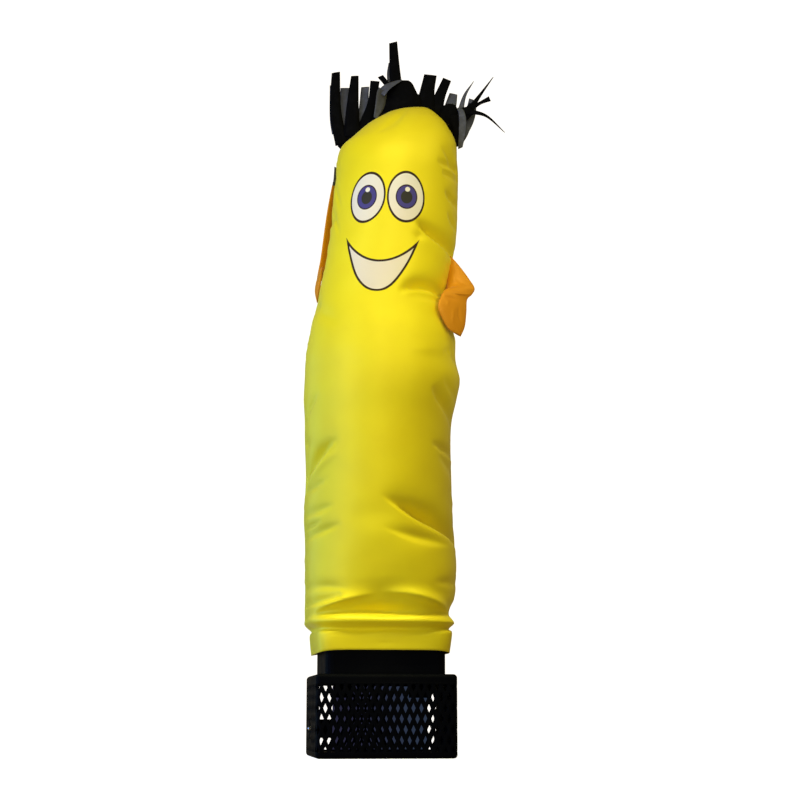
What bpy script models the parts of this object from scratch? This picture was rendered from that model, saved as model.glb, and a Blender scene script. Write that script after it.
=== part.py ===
"""A desk-size inflatable air dancer: a satin tube of two panels with a sleeve sewn into each side
seam and a cut fringe of hair sewn into the arched seam over its head.  Its hem fits over the square
blower collar of a small moulded base with pierced walls.

The origin is the middle of the base's underside, +Z is up and the face looks towards -Y."""
import math
from collections import namedtuple

import bmesh
import bpy
from mathutils import Vector

MM = 0.001
GAP = 0.3 * MM              # clearance kept between pieces that touch
CLOTH = 1.0 * MM            # thickness of the tube's panels and of the fringes

# The moulded base.
BASE_WIDTH = 91 * MM
BASE_HEIGHT = 51 * MM
BASE_CORNER = 3.2 * MM      # radius of its upright corners
BASE_EDGE = 2.2 * MM        # radius of its top and bottom edges
FLOOR_THICK = 3.2 * MM
LID_THICK = 3.2 * MM
POST_WIDTH = 4.2 * MM
GRILLE_THICK = 1.8 * MM
LUG_DROP = 9 * MM           # how far the lid's two lugs hang under it
LUG_DEPTH = 5 * MM
Lug = namedtuple("Lug", "x y width")
LUGS = (Lug(-21, 36, 13), Lug(32, 36, 15))

# The square blower collar on the lid, which the cloth's hem fits over.
COLLAR_WIDTH = 78 * MM
COLLAR_HEIGHT = 24 * MM
COLLAR_CORNER = 5 * MM
FLANGE_WIDTH = 80.5 * MM
FLANGE_THICK = 2 * MM
DUCT_DIAMETER = 70 * MM
DUCT_SIDES = 40

# The power inlet in the left wall.
SOCKET_SIZE = Vector((14, 12, 12)) * MM
SOCKET_Y = 5 * MM
SOCKET_Z = 18.5 * MM
SOCKET_BORE = 6.4 * MM
SOCKET_DEPTH = 10 * MM
PIN_DIAMETER = 2.1 * MM

# The tube's sections, in millimetres and degrees.  left and right are its sides across the seams,
# y is its middle, front and back are its half depths, power is its squareness (2 is an ellipse)
# and turn is how far it has twisted away from the base.
Section = namedtuple("Section", "z left right y front back power turn")
SECTIONS = (
    Section(66.5, -43.6, 42.6, 0.0, 43.1, 43.1, 9.0, 0),
    Section(74.0, -44.4, 43.6, 0.0, 43.7, 43.7, 9.0, 0),
    Section(81.5, -45.0, 44.6, 0.0, 44.0, 44.0, 8.0, 0),
    Section(84.0, -45.2, 44.4, 0.0, 43.8, 43.8, 6.5, 0),
    Section(89.0, -48.2, 46.4, 0.0, 46.8, 46.6, 4.6, 0),
    Section(96.0, -49.4, 45.2, 0.0, 47.0, 47.2, 3.6, 0),
    Section(103.0, -49.6, 48.6, 0.0, 46.6, 48.0, 3.0, 0),
    Section(116.0, -50.0, 50.8, 0.0, 49.0, 49.2, 2.6, -1),
    Section(143.0, -50.4, 50.6, 0.3, 50.2, 49.6, 2.2, -2),
    Section(157.0, -51.2, 49.4, 0.5, 49.4, 50.0, 2.1, -2),
    Section(184.0, -50.1, 48.8, 1.0, 49.8, 49.0, 2.0, -3),
    Section(211.0, -51.0, 48.3, 1.4, 49.6, 49.6, 2.0, -4),
    Section(225.0, -51.2, 49.2, 1.6, 49.8, 50.0, 2.0, -5),
    Section(239.0, -52.0, 52.4, 1.8, 50.8, 50.6, 2.0, -6),
    Section(253.0, -51.6, 54.8, 2.0, 51.2, 50.8, 2.0, -7),
    Section(267.0, -50.9, 52.0, 2.0, 50.4, 50.0, 2.0, -8),
    Section(281.0, -49.0, 51.8, 2.0, 49.0, 48.8, 2.0, -9),
    Section(295.0, -46.4, 48.2, 2.0, 46.2, 46.8, 2.0, -10),
    Section(313.0, -42.4, 45.6, 1.8, 43.6, 44.0, 2.0, -12),
    Section(331.0, -38.4, 48.0, 1.6, 43.0, 43.2, 2.0, -13),
    Section(354.0, -35.1, 52.0, 1.2, 42.8, 42.6, 2.0, -14),
    Section(380.0, -33.2, 54.2, 0.8, 42.2, 41.6, 2.0, -14),
    Section(398.0, -31.2, 54.6, 0.4, 40.2, 39.4, 2.0, -14),
    Section(410.0, -30.6, 53.8, 0.2, 36.8, 36.2, 2.0, -14),
    Section(419.0, -27.8, 53.6, 0.0, 32.6, 32.2, 2.0, -14),
    Section(425.0, -21.5, 51.9, -0.5, 28.8, 28.6, 2.0, -14),
    Section(431.0, -15.2, 48.8, -0.9, 24.2, 24.0, 2.0, -14),
    Section(437.0, -8.4, 45.2, -1.3, 18.6, 18.6, 2.0, -14),
    Section(442.0, -0.4, 40.4, -1.7, 12.8, 13.0, 2.0, -14),
    Section(445.6, 6.0, 36.4, -2.1, 7.8, 8.0, 2.0, -14),
    Section(448.0, 14.0, 32.4, -2.6, 3.2, 3.2, 2.0, -14),
)
ROW_STEP = 10.0             # largest height of a row of faces, in millimetres
PANEL_COLUMNS = 16          # faces across each panel
SEAM_INSET = 0.02           # how far a panel's edge stays on its own side of the seam, in faces
HEAD_X = 13 * MM            # where the head's seam plane crosses the XZ plane
HEAD_TURN = math.radians(-14)

# The tube's main folds.  Each runs straight across the cloth between two places, given by the
# angle round the tube (0 is the front, 90 the right side and 180 the back) and the height.
# A ridge's height is positive and a trough's is negative.
FOLD_RADIUS = 47.0          # turns an angle into a distance on the cloth
Fold = namedtuple("Fold", "start_angle start_z end_angle end_z width height")
FOLDS = (
    Fold(-62, 99, -8, 106, 5, -2.2),
    Fold(-8, 106, 62, 101, 5, -2.4),
    Fold(8, 164, 62, 142, 5, 2.6),
    Fold(4, 173, 64, 155, 6, -2.6),
    Fold(-6, 154, 44, 136, 5, -1.6),
    Fold(-76, 182, -34, 222, 6, -2.2),
    Fold(-80, 156, -46, 139, 5, -1.8),
    Fold(24, 279, 72, 261, 6, -2.6),
    Fold(42, 252, 60, 224, 5, -2.0),
    Fold(36, 204, 74, 190, 6, -2.2),
    Fold(6, 318, 66, 303, 6, -3.0),
    Fold(2, 306, 62, 296, 4, 2.0),
    Fold(26, 352, 58, 324, 5, -2.2),
    Fold(38, 392, 62, 368, 5, -1.8),
    Fold(-88, 300, -40, 284, 6, -2.2),
    Fold(118, 98, 176, 106, 6, -2.2),
    Fold(176, 106, 236, 99, 6, -2.2),
    Fold(112, 302, 168, 320, 6, -3.0),
    Fold(196, 316, 250, 298, 6, -2.6),
    Fold(120, 168, 172, 144, 6, -2.2),
    Fold(200, 236, 246, 208, 6, -2.2),
    Fold(126, 262, 170, 246, 6, -2.0),
)
FOLD_END = 0.22             # share of a fold's length over which each end fades out

# The two sleeves, in millimetres.  A rung crosses the sleeve from one edge to the other, and thick
# is half of the sleeve's thickness there.
Rung = namedtuple("Rung", "outer inner thick")
RIGHT_SLEEVE = (
    Rung((47.9, -11.5, 339.0), (47.4, -11.4, 312.0), 1.6),
    Rung((53.5, -14.5, 331.0), (49.0, -16.0, 311.5), 2.4),
    Rung((59.5, -18.0, 321.0), (49.0, -20.0, 310.5), 2.2),
    Rung((62.3, -20.5, 313.5), (48.0, -23.5, 310.0), 1.8),
    Rung((57.0, -22.2, 305.5), (41.6, -28.8, 305.0), 2.0),
    Rung((56.2, -23.4, 296.0), (35.4, -34.4, 298.0), 2.2),
    Rung((54.8, -24.8, 286.0), (38.2, -33.2, 290.0), 2.0),
    Rung((51.8, -26.2, 279.0), (42.6, -31.4, 283.0), 1.6),
)
LEFT_SLEEVE = (
    Rung((-42.7, 13.8, 309), (-39.6, 13.4, 334), 1.6),
    Rung((-43.6, 16.5, 317), (-38.4, 20.5, 337), 2.2),
    Rung((-42.2, 18.5, 329), (-31.4, 30.5, 341), 2.2),
    Rung((-40.0, 20.0, 342), (-26.6, 35.2, 348), 2.0),
    Rung((-38.0, 20.6, 358), (-24.0, 37.4, 360), 2.0),
    Rung((-36.0, 20.6, 374), (-22.0, 37.8, 374), 2.0),
    Rung((-33.8, 21.0, 388), (-20.2, 37.8, 387), 1.8),
    Rung((-32.2, 21.0, 397), (-19.0, 37.0, 395), 1.4),
)
SLEEVE_SIDES = 12
SLEEVE_STEPS = 3            # rings of faces between two rungs

# The hands' fringes, in millimetres: the two ends of the comb's root, and its fingers' reach.
Hand = namedtuple("Hand", "start end reach fingers")
LEFT_HAND = Hand((-31.8, 21.6, 399.0), (-19.0, 37.2, 397.0), (1.8, -2.0, 13.0), 5)
RIGHT_HAND = Hand((53.0, -21.9, 280.4), (46.8, -25.4, 282.0), (2.2, 1.4, 10.0), 4)
HAND_BAND = 0.3             # share of the reach left uncut at the root
FINGER_SHARE = 0.74         # share of the fringe's width that is finger, the rest is slit

# The hair: strips of a comb that follows the head's seam.  root is the distance along the seam
# from its left end and root_wide the strip's width there; tip_x and tip_z place the middle of
# its cut end.  All in millimetres, measured in the seam's own plane.
Strip = namedtuple("Strip", "root root_wide tip_x tip_z tip_wide")
FRONT_HAIR = (
    Strip(6.5, 9, -44.6, 476, 6.3),
    Strip(17.5, 9, -31.2, 474, 6.3),
    Strip(27.0, 7, -17.0, 467, 6.0),
    Strip(44.5, 7, -4.2, 498, 6.2),
    Strip(57.5, 14, 6.2, 467, 10.0),
    Strip(70.0, 8, 22.4, 473, 8.4),
    Strip(80.5, 7, 34.4, 469, 6.0),
    Strip(91.0, 9, 40.0, 452, 8.0),
    Strip(103.0, 5, 73.5, 426, 1.6),
)
BACK_HAIR = (
    Strip(5.0, 7, -47.0, 452, 4.5),
    Strip(13.0, 6, -38.8, 464, 4.5),
    Strip(23.0, 7, -24.0, 465, 5.6),
    Strip(34.0, 6, -8.6, 483, 4.0),
    Strip(48.0, 8, -1.0, 468, 6.0),
    Strip(62.0, 8, 11.0, 470, 6.0),
    Strip(75.0, 7, 26.0, 463, 6.0),
    Strip(85.5, 6, 37.6, 460, 5.0),
    Strip(94.5, 4, 52.4, 469, 1.6),
    Strip(103.0, 6, 54.0, 456, 6.0),
)
HAIR_BAND = 2.6             # uncut width of the comb along the seam, in millimetres
HAIR_LOWEST = 418.5         # height of the ends of the hair's seam, in millimetres
HAIR_STAND_OFF = 1.9        # from the panels' edge to the comb's edge, in millimetres


# Materials -------------------------------------------------------------------------------------

def material(name, colour, roughness, metallic=0.0):
    """A plain material with the piece's colour and finish."""
    made = bpy.data.materials.new(name)
    made.use_nodes = True
    shader = made.node_tree.nodes["Principled BSDF"]
    shader.inputs["Base Color"].default_value = (*colour, 1.0)
    shader.inputs["Roughness"].default_value = roughness
    shader.inputs["Metallic"].default_value = metallic
    return made


# Objects and meshes ----------------------------------------------------------------------------

def add_object(name, form, parts, finish):
    """Makes a named object from a bmesh in the collection of parts."""
    mesh = bpy.data.meshes.new(name)
    form.to_mesh(mesh)
    form.free()
    mesh.materials.append(finish)
    made = bpy.data.objects.new(name, mesh)
    parts.objects.link(made)
    return made


def cuboid(low, high):
    """A box between two corners."""
    form = bmesh.new()
    bmesh.ops.create_cube(form, size=1.0)
    low, high = Vector(low), Vector(high)
    size, middle = high - low, (high + low) / 2
    for vert in form.verts:
        vert.co = Vector(a * b for a, b in zip(vert.co, size)) + middle
    return form


def round_edges(form, chosen, radius, segments):
    """Rounds the edges for which chosen(start, end) is true."""
    edges = [edge for edge in form.edges if chosen(edge.verts[0].co, edge.verts[1].co)]
    bmesh.ops.bevel(form, geom=edges, offset=radius, segments=segments, profile=0.5,
                    affect="EDGES", clamp_overlap=True)


def upright(start, end):
    """True for a vertical edge."""
    return abs(start.z - end.z) > GAP


def at_height(z):
    """A test that is true for an edge lying at one height."""
    return lambda start, end: abs(start.z - z) < GAP / 2 and abs(end.z - z) < GAP / 2


def square_plate(width, bottom, top, corner):
    """A square plate, centred on the axis, with round upright corners."""
    half = width / 2
    form = cuboid((-half, -half, bottom), (half, half, top))
    round_edges(form, upright, corner, 4)
    return form


def cylinder(radius, start, end, sides):
    """A closed cylinder between two points on a line parallel to an axis."""
    start, end = Vector(start), Vector(end)
    along = end - start
    form = bmesh.new()
    bmesh.ops.create_cone(form, cap_ends=True, segments=sides, radius1=radius, radius2=radius,
                          depth=along.length)
    turn = Vector((0, 0, 1)).rotation_difference(along)
    for vert in form.verts:
        vert.co = turn @ vert.co + (start + end) / 2
    return form


def boolean(target, name, form, operation, cutters):
    """Cuts or joins a target with a form, which stays in the collection of cutters."""
    mesh = bpy.data.meshes.new(name)
    form.to_mesh(mesh)
    form.free()
    cutter = bpy.data.objects.new(name, mesh)
    cutter.display_type = "WIRE"
    cutter.hide_render = True
    cutters.objects.link(cutter)
    step = target.modifiers.new(name, "BOOLEAN")
    step.operation = operation
    step.object = cutter


# The moulded base --------------------------------------------------------------------------------

def build_floor(parts, finish):
    """The closed bottom plate that the base stands on."""
    form = square_plate(BASE_WIDTH, 0, FLOOR_THICK, BASE_CORNER)
    round_edges(form, at_height(0), BASE_EDGE / 2, 2)
    add_object("base_floor", form, parts, finish)


def build_posts(parts, finish):
    """The four corner posts between the floor and the lid."""
    half = BASE_WIDTH / 2
    bottom, top = FLOOR_THICK + GAP, BASE_HEIGHT - LID_THICK - GAP
    for depth, side_y in (("front", -1), ("back", 1)):
        for side, side_x in (("left", -1), ("right", 1)):
            outer = Vector((side_x * half, side_y * half))
            inner = Vector((side_x * (half - POST_WIDTH), side_y * (half - POST_WIDTH)))
            low = (min(outer.x, inner.x), min(outer.y, inner.y), bottom)
            high = (max(outer.x, inner.x), max(outer.y, inner.y), top)
            form = cuboid(low, high)
            round_edges(form, lambda start, end: upright(start, end)
                        and abs(start.x - outer.x) < GAP and abs(start.y - outer.y) < GAP,
                        BASE_CORNER, 4)
            add_object(f"base_post_{depth}_{side}", form, parts, finish)


def build_grilles(parts, cutters, finish):
    """The four wall panels; the left one has a window for the power inlet."""
    half = BASE_WIDTH / 2
    reach = half - POST_WIDTH - GAP
    bottom, top = FLOOR_THICK + GAP, BASE_HEIGHT - LID_THICK - GAP
    for name, side in (("front", -1), ("back", 1)):
        near, far = sorted((side * half, side * (half - GRILLE_THICK)))
        add_object(f"grille_{name}", cuboid((-reach, near, bottom), (reach, far, top)),
                   parts, finish)
    for name, side in (("left", -1), ("right", 1)):
        near, far = sorted((side * half, side * (half - GRILLE_THICK)))
        made = add_object(f"grille_{name}", cuboid((near, -reach, bottom), (far, reach, top)),
                          parts, finish)
        if name == "left":
            room = SOCKET_SIZE / 2 + Vector((GAP, GAP, GAP))
            window = cuboid((near - GAP, SOCKET_Y - room.y, SOCKET_Z - room.z),
                            (far + GAP, SOCKET_Y + room.y, SOCKET_Z + room.z))
            boolean(made, "inlet_window", window, "DIFFERENCE", cutters)


def build_lid(parts, cutters, finish):
    """The top plate, with the round opening of the duct and two lugs under it."""
    under = BASE_HEIGHT - LID_THICK
    form = square_plate(BASE_WIDTH, under, BASE_HEIGHT, BASE_CORNER)
    round_edges(form, at_height(BASE_HEIGHT), BASE_EDGE, 3)
    made = add_object("base_lid", form, parts, finish)
    for index, lug in enumerate(LUGS):
        x, y, half = lug.x * MM, lug.y * MM, lug.width * MM / 2
        block = cuboid((x - half, y - LUG_DEPTH / 2, under - LUG_DROP),
                       (x + half, y + LUG_DEPTH / 2, under + LID_THICK / 2))
        boolean(made, f"lug_{index}", block, "UNION", cutters)
    hole = cylinder(DUCT_DIAMETER / 2, (0, 0, under - 1 * MM), (0, 0, BASE_HEIGHT + 1 * MM),
                    DUCT_SIDES)
    boolean(made, "lid_opening", hole, "DIFFERENCE", cutters)


def build_collar(parts, cutters, finish):
    """The square blower collar on its thin flange, with a round duct through both."""
    foot = BASE_HEIGHT + GAP
    shoulder = foot + FLANGE_THICK
    top = shoulder + COLLAR_HEIGHT
    made = add_object("blower_collar", square_plate(FLANGE_WIDTH, foot, shoulder, COLLAR_CORNER),
                      parts, finish)
    frame = square_plate(COLLAR_WIDTH, foot + FLANGE_THICK / 2, top, COLLAR_CORNER)
    boolean(made, "collar_frame", frame, "UNION", cutters)
    duct = cylinder(DUCT_DIAMETER / 2, (0, 0, foot - 1 * MM), (0, 0, top + 1 * MM), DUCT_SIDES)
    boolean(made, "collar_duct", duct, "DIFFERENCE", cutters)


def build_socket(parts, cutters, finish):
    """The power inlet: a block behind the left wall with a round bore and a pin in it."""
    face = -BASE_WIDTH / 2 + GAP
    back = face + SOCKET_SIZE.x
    half_y, half_z = SOCKET_SIZE.y / 2, SOCKET_SIZE.z / 2
    block = cuboid((face, SOCKET_Y - half_y, SOCKET_Z - half_z),
                   (back, SOCKET_Y + half_y, SOCKET_Z + half_z))
    made = add_object("power_socket", block, parts, finish)
    end = face + SOCKET_DEPTH
    bore = cylinder(SOCKET_BORE / 2, (face - 1 * MM, SOCKET_Y, SOCKET_Z),
                    (end, SOCKET_Y, SOCKET_Z), 20)
    boolean(made, "socket_bore", bore, "DIFFERENCE", cutters)
    pin = cylinder(PIN_DIAMETER / 2, (face + 1.5 * MM, SOCKET_Y, SOCKET_Z),
                   (end + 1 * MM, SOCKET_Y, SOCKET_Z), 10)
    boolean(made, "socket_pin", pin, "UNION", cutters)


# The tube ----------------------------------------------------------------------------------------

def slope(rows, index, field):
    """The table's slope at a row, from its two neighbours."""
    before, after = rows[max(index - 1, 0)], rows[min(index + 1, len(rows) - 1)]
    return (getattr(after, field) - getattr(before, field)) / (after.z - before.z)


def section_at(z):
    """The tube's section at any height, on a smooth curve through the table's rows."""
    index = max(i for i, row in enumerate(SECTIONS[:-1]) if row.z <= z)
    low, high = SECTIONS[index], SECTIONS[index + 1]
    span = high.z - low.z
    t = (z - low.z) / span
    values = [z]
    for field in Section._fields[1:]:
        start, end = getattr(low, field), getattr(high, field)
        rise, fall = slope(SECTIONS, index, field) * span, slope(SECTIONS, index + 1, field) * span
        values.append(start * (1 + 2 * t) * (1 - t) ** 2 + rise * t * (1 - t) ** 2
                      + end * t * t * (3 - 2 * t) - fall * t * t * (1 - t))
    return Section(*values)


def fold_depth(angle, z):
    """How far the cloth stands out of the tube's section, in millimetres, at a place on it."""
    total = 0.0
    for fold in FOLDS:
        centre = (fold.start_angle + fold.end_angle) / 2
        swing = (angle - centre + 180) % 360 - 180
        place = Vector((math.radians(centre + swing) * FOLD_RADIUS, z))
        start = Vector((math.radians(fold.start_angle) * FOLD_RADIUS, fold.start_z))
        along = Vector((math.radians(fold.end_angle) * FOLD_RADIUS, fold.end_z)) - start
        t = min(max((place - start).dot(along) / along.length_squared, 0.0), 1.0)
        aside = (place - start - along * t).length / fold.width
        fade = min(t, 1 - t, FOLD_END) / FOLD_END
        total += fold.height * math.exp(-aside * aside) * fade
    return total


def tube_point(section, around):
    """A point of the tube's inner face, at an angle round the section from its right seam."""
    middle = (section.left + section.right) / 2
    half_width = (section.right - section.left) / 2 - CLOTH / MM
    depth = (section.front if math.sin(around) < 0 else section.back) - CLOTH / MM
    across, deep = math.cos(around), math.sin(around)
    size = (abs(across) ** section.power + abs(deep) ** section.power) ** (1 / section.power)
    local = Vector((half_width * across, depth * deep)) / size
    facing = math.degrees(math.atan2(local.x, -local.y)) + section.turn
    local *= 1 + fold_depth(facing, section.z) / local.length * abs(deep)
    local.y += math.copysign(GAP / MM / 2, deep)
    turn = math.radians(section.turn)
    x = middle + local.x * math.cos(turn) - local.y * math.sin(turn)
    y = section.y + local.x * math.sin(turn) + local.y * math.cos(turn)
    return Vector((x, y, section.z)) * MM


def row_heights():
    """Heights of the rows of faces: the table's rows, with others spread between them."""
    heights = []
    for low, high in zip(SECTIONS, SECTIONS[1:]):
        steps = math.ceil((high.z - low.z) / ROW_STEP)
        heights += [low.z + (high.z - low.z) * step / steps for step in range(steps)]
    return heights + [SECTIONS[-1].z]


def build_panel(name, start_angle, parts, finish):
    """One of the tube's two panels, from seam to seam and from the hem to the top of the head."""
    form = bmesh.new()
    rows = []
    for z in row_heights():
        section = section_at(min(z, SECTIONS[-1].z - GAP))
        arounds = [start_angle + math.pi * (column + SEAM_INSET * (1 - 2 * column / PANEL_COLUMNS))
                   / PANEL_COLUMNS for column in range(PANEL_COLUMNS + 1)]
        rows.append([form.verts.new(tube_point(section, around)) for around in arounds])
    for low, high in zip(rows, rows[1:]):
        for column in range(PANEL_COLUMNS):
            form.faces.new((low[column], low[column + 1], high[column + 1], high[column]))
    made = add_object(name, form, parts, finish)
    made.data.shade_smooth()
    thicken = made.modifiers.new("cloth", "SOLIDIFY")
    thicken.thickness = CLOTH
    thicken.offset = 1.0


# The sleeves and the fringes -----------------------------------------------------------------------

def ring_between(low, high, t):
    """A ring of points round the sleeve between two rungs."""
    outer = Vector(low.outer).lerp(Vector(high.outer), t)
    inner = Vector(low.inner).lerp(Vector(high.inner), t)
    thick = low.thick + (high.thick - low.thick) * t
    ahead = (Vector(high.outer) + Vector(high.inner) - Vector(low.outer) - Vector(low.inner))
    across = (inner - outer) / 2
    normal = across.cross(ahead).normalized() * thick
    middle = (outer + inner) / 2
    return [(middle + across * math.cos(a) + normal * math.sin(a)) * MM
            for a in (math.tau * side / SLEEVE_SIDES for side in range(SLEEVE_SIDES))]


def build_sleeve(name, rungs, parts, finish):
    """A limp sleeve: flattened rings lofted along its rungs and closed at both ends."""
    rings = []
    for low, high in zip(rungs, rungs[1:]):
        rings += [ring_between(low, high, step / SLEEVE_STEPS) for step in range(SLEEVE_STEPS)]
    rings.append(ring_between(rungs[-2], rungs[-1], 1.0))
    form = bmesh.new()
    loops = [[form.verts.new(point) for point in ring] for ring in rings]
    for low, high in zip(loops, loops[1:]):
        for side in range(SLEEVE_SIDES):
            after = (side + 1) % SLEEVE_SIDES
            form.faces.new((low[side], low[after], high[after], high[side]))
    form.faces.new(loops[0])
    form.faces.new(loops[-1])
    bmesh.ops.recalc_face_normals(form, faces=form.faces)
    add_object(name, form, parts, finish)


def extruded_outline(points, thickness):
    """A flat sheet: an outline of 3-D points made a face and pushed through by its thickness."""
    form = bmesh.new()
    face = form.faces.new([form.verts.new(point) for point in points])
    face.normal_update()
    push = face.normal * thickness
    grown = bmesh.ops.extrude_face_region(form, geom=[face], use_keep_orig=True)
    moved = [item for item in grown["geom"] if isinstance(item, bmesh.types.BMVert)]
    bmesh.ops.translate(form, verts=moved, vec=push)
    bmesh.ops.recalc_face_normals(form, faces=form.faces)
    return form


def build_hand(name, hand, parts, finish):
    """The short cut fringe at a sleeve's end: a band with fingers standing out of it."""
    start, end, reach = Vector(hand.start) * MM, Vector(hand.end) * MM, Vector(hand.reach) * MM
    outline = [start, end]
    for finger in reversed(range(hand.fingers)):
        near = start.lerp(end, (finger + (1 - FINGER_SHARE) / 2) / hand.fingers)
        far = start.lerp(end, (finger + (1 + FINGER_SHARE) / 2) / hand.fingers)
        outline += [far + reach * HAND_BAND, far + reach, near + reach, near + reach * HAND_BAND]
    add_object(name, extruded_outline(outline, CLOTH), parts, finish)


def head_seam():
    """The head's arched seam from left to right, as points of its own plane in millimetres."""
    arch = [row for row in SECTIONS if row.z > HAIR_LOWEST]
    left = [Vector((row.left - HEAD_X / MM, row.z)) for row in arch]
    right = [Vector((row.right - HEAD_X / MM, row.z)) for row in arch]
    return left + right[::-1]


def along_seam(seam, distance, stand_off):
    """The point at a distance along the seam, moved off it outwards."""
    for start, end in zip(seam, seam[1:]):
        run = end - start
        if distance <= run.length or end is seam[-1]:
            outwards = Vector((-run.y, run.x)).normalized()
            return start + run * (distance / run.length) + outwards * stand_off
        distance -= run.length


def build_hair(name, strips, layer, parts, finish):
    """A comb along the head's seam: layer is -1 for the one in front and 1 for the one behind."""
    seam = head_seam()
    ends = (strips[0].root - strips[0].root_wide / 2, strips[-1].root + strips[-1].root_wide / 2)
    count = 14
    edge = [along_seam(seam, ends[0] + (ends[1] - ends[0]) * i / count, HAIR_STAND_OFF)
            for i in range(count + 1)]
    outline = list(edge)
    for strip in reversed(strips):
        far = along_seam(seam, strip.root + strip.root_wide / 2, HAIR_BAND)
        near = along_seam(seam, strip.root - strip.root_wide / 2, HAIR_BAND)
        tip = Vector((strip.tip_x, strip.tip_z))
        middle = (near + far) / 2
        aside = Vector(((tip - middle).y, -(tip - middle).x)).normalized() * strip.tip_wide / 2
        outline += [far, tip + aside, tip - aside, near]
    across = Vector((math.cos(HEAD_TURN), math.sin(HEAD_TURN), 0))
    ahead = Vector((math.sin(HEAD_TURN), -math.cos(HEAD_TURN), 0))
    origin = Vector((HEAD_X, 0, 0)) - ahead * layer * GAP / 2
    points = [origin + across * p.x * MM + Vector((0, 0, p.y * MM)) for p in outline]
    if layer > 0:
        points = [point - ahead * CLOTH for point in points]
    add_object(name, extruded_outline(points, CLOTH), parts, finish)


# The whole object ----------------------------------------------------------------------------------

def main():
    """Clears the scene and builds every piece."""
    for item in list(bpy.data.objects):
        bpy.data.objects.remove(item, do_unlink=True)
    parts = bpy.data.collections.new("air_dancer")
    cutters = bpy.data.collections.new("cutters")
    for collection in (parts, cutters):
        bpy.context.scene.collection.children.link(collection)
    moulding = material("black_moulding", (0.012, 0.013, 0.018), 0.42)
    satin = material("yellow_satin", (0.95, 0.83, 0.02), 0.45)
    orange = material("orange_satin", (0.93, 0.45, 0.01), 0.5)
    black = material("black_ribbon", (0.008, 0.008, 0.011), 0.55)
    grey = material("grey_ribbon", (0.10, 0.10, 0.12), 0.6)
    build_floor(parts, moulding)
    build_posts(parts, moulding)
    build_grilles(parts, cutters, moulding)
    build_lid(parts, cutters, moulding)
    build_collar(parts, cutters, moulding)
    build_socket(parts, cutters, moulding)
    build_panel("body_front", math.pi, parts, satin)
    build_panel("body_back", 0.0, parts, satin)
    build_sleeve("arm_right", RIGHT_SLEEVE, parts, orange)
    build_sleeve("arm_left", LEFT_SLEEVE, parts, orange)
    build_hand("hand_right", RIGHT_HAND, parts, black)
    build_hand("hand_left", LEFT_HAND, parts, black)
    build_hair("hair_front", FRONT_HAIR, -1, parts, black)
    build_hair("hair_back", BACK_HAIR, 1, parts, grey)


main()
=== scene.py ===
"""A desk-size inflatable air dancer: a satin tube with two limp sleeves, fringed hands, cut hair
and a printed face, blown up by a small moulded fan base with pierced walls.

Laid out as a Blender add-on.  Run as a script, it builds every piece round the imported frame."""
import math
import random
from collections import namedtuple

import bmesh
import bpy
import numpy as np
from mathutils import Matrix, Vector, geometry


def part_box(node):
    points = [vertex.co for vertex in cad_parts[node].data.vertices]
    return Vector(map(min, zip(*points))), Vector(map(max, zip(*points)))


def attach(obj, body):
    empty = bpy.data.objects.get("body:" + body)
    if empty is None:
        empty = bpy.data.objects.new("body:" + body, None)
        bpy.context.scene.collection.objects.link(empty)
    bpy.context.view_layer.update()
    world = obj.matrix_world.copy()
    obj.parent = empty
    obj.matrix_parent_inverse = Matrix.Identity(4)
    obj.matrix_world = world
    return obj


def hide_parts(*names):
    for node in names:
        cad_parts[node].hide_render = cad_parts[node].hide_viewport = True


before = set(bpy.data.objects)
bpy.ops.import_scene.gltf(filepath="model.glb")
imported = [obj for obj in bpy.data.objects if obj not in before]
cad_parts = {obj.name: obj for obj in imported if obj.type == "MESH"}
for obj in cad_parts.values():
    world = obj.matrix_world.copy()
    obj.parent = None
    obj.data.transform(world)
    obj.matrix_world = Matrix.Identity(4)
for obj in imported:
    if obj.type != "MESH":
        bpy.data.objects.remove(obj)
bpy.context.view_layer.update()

bl_info = {
    "name": "Air Dancer",
    "version": (1, 0, 0),
    "blender": (4, 5, 0),
    "location": "View3D > Sidebar > Air Dancer",
    "description": "Builds a desk-size air dancer of satin on its moulded fan base",
    "category": "Add Mesh",
}

MM = 0.001

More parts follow.
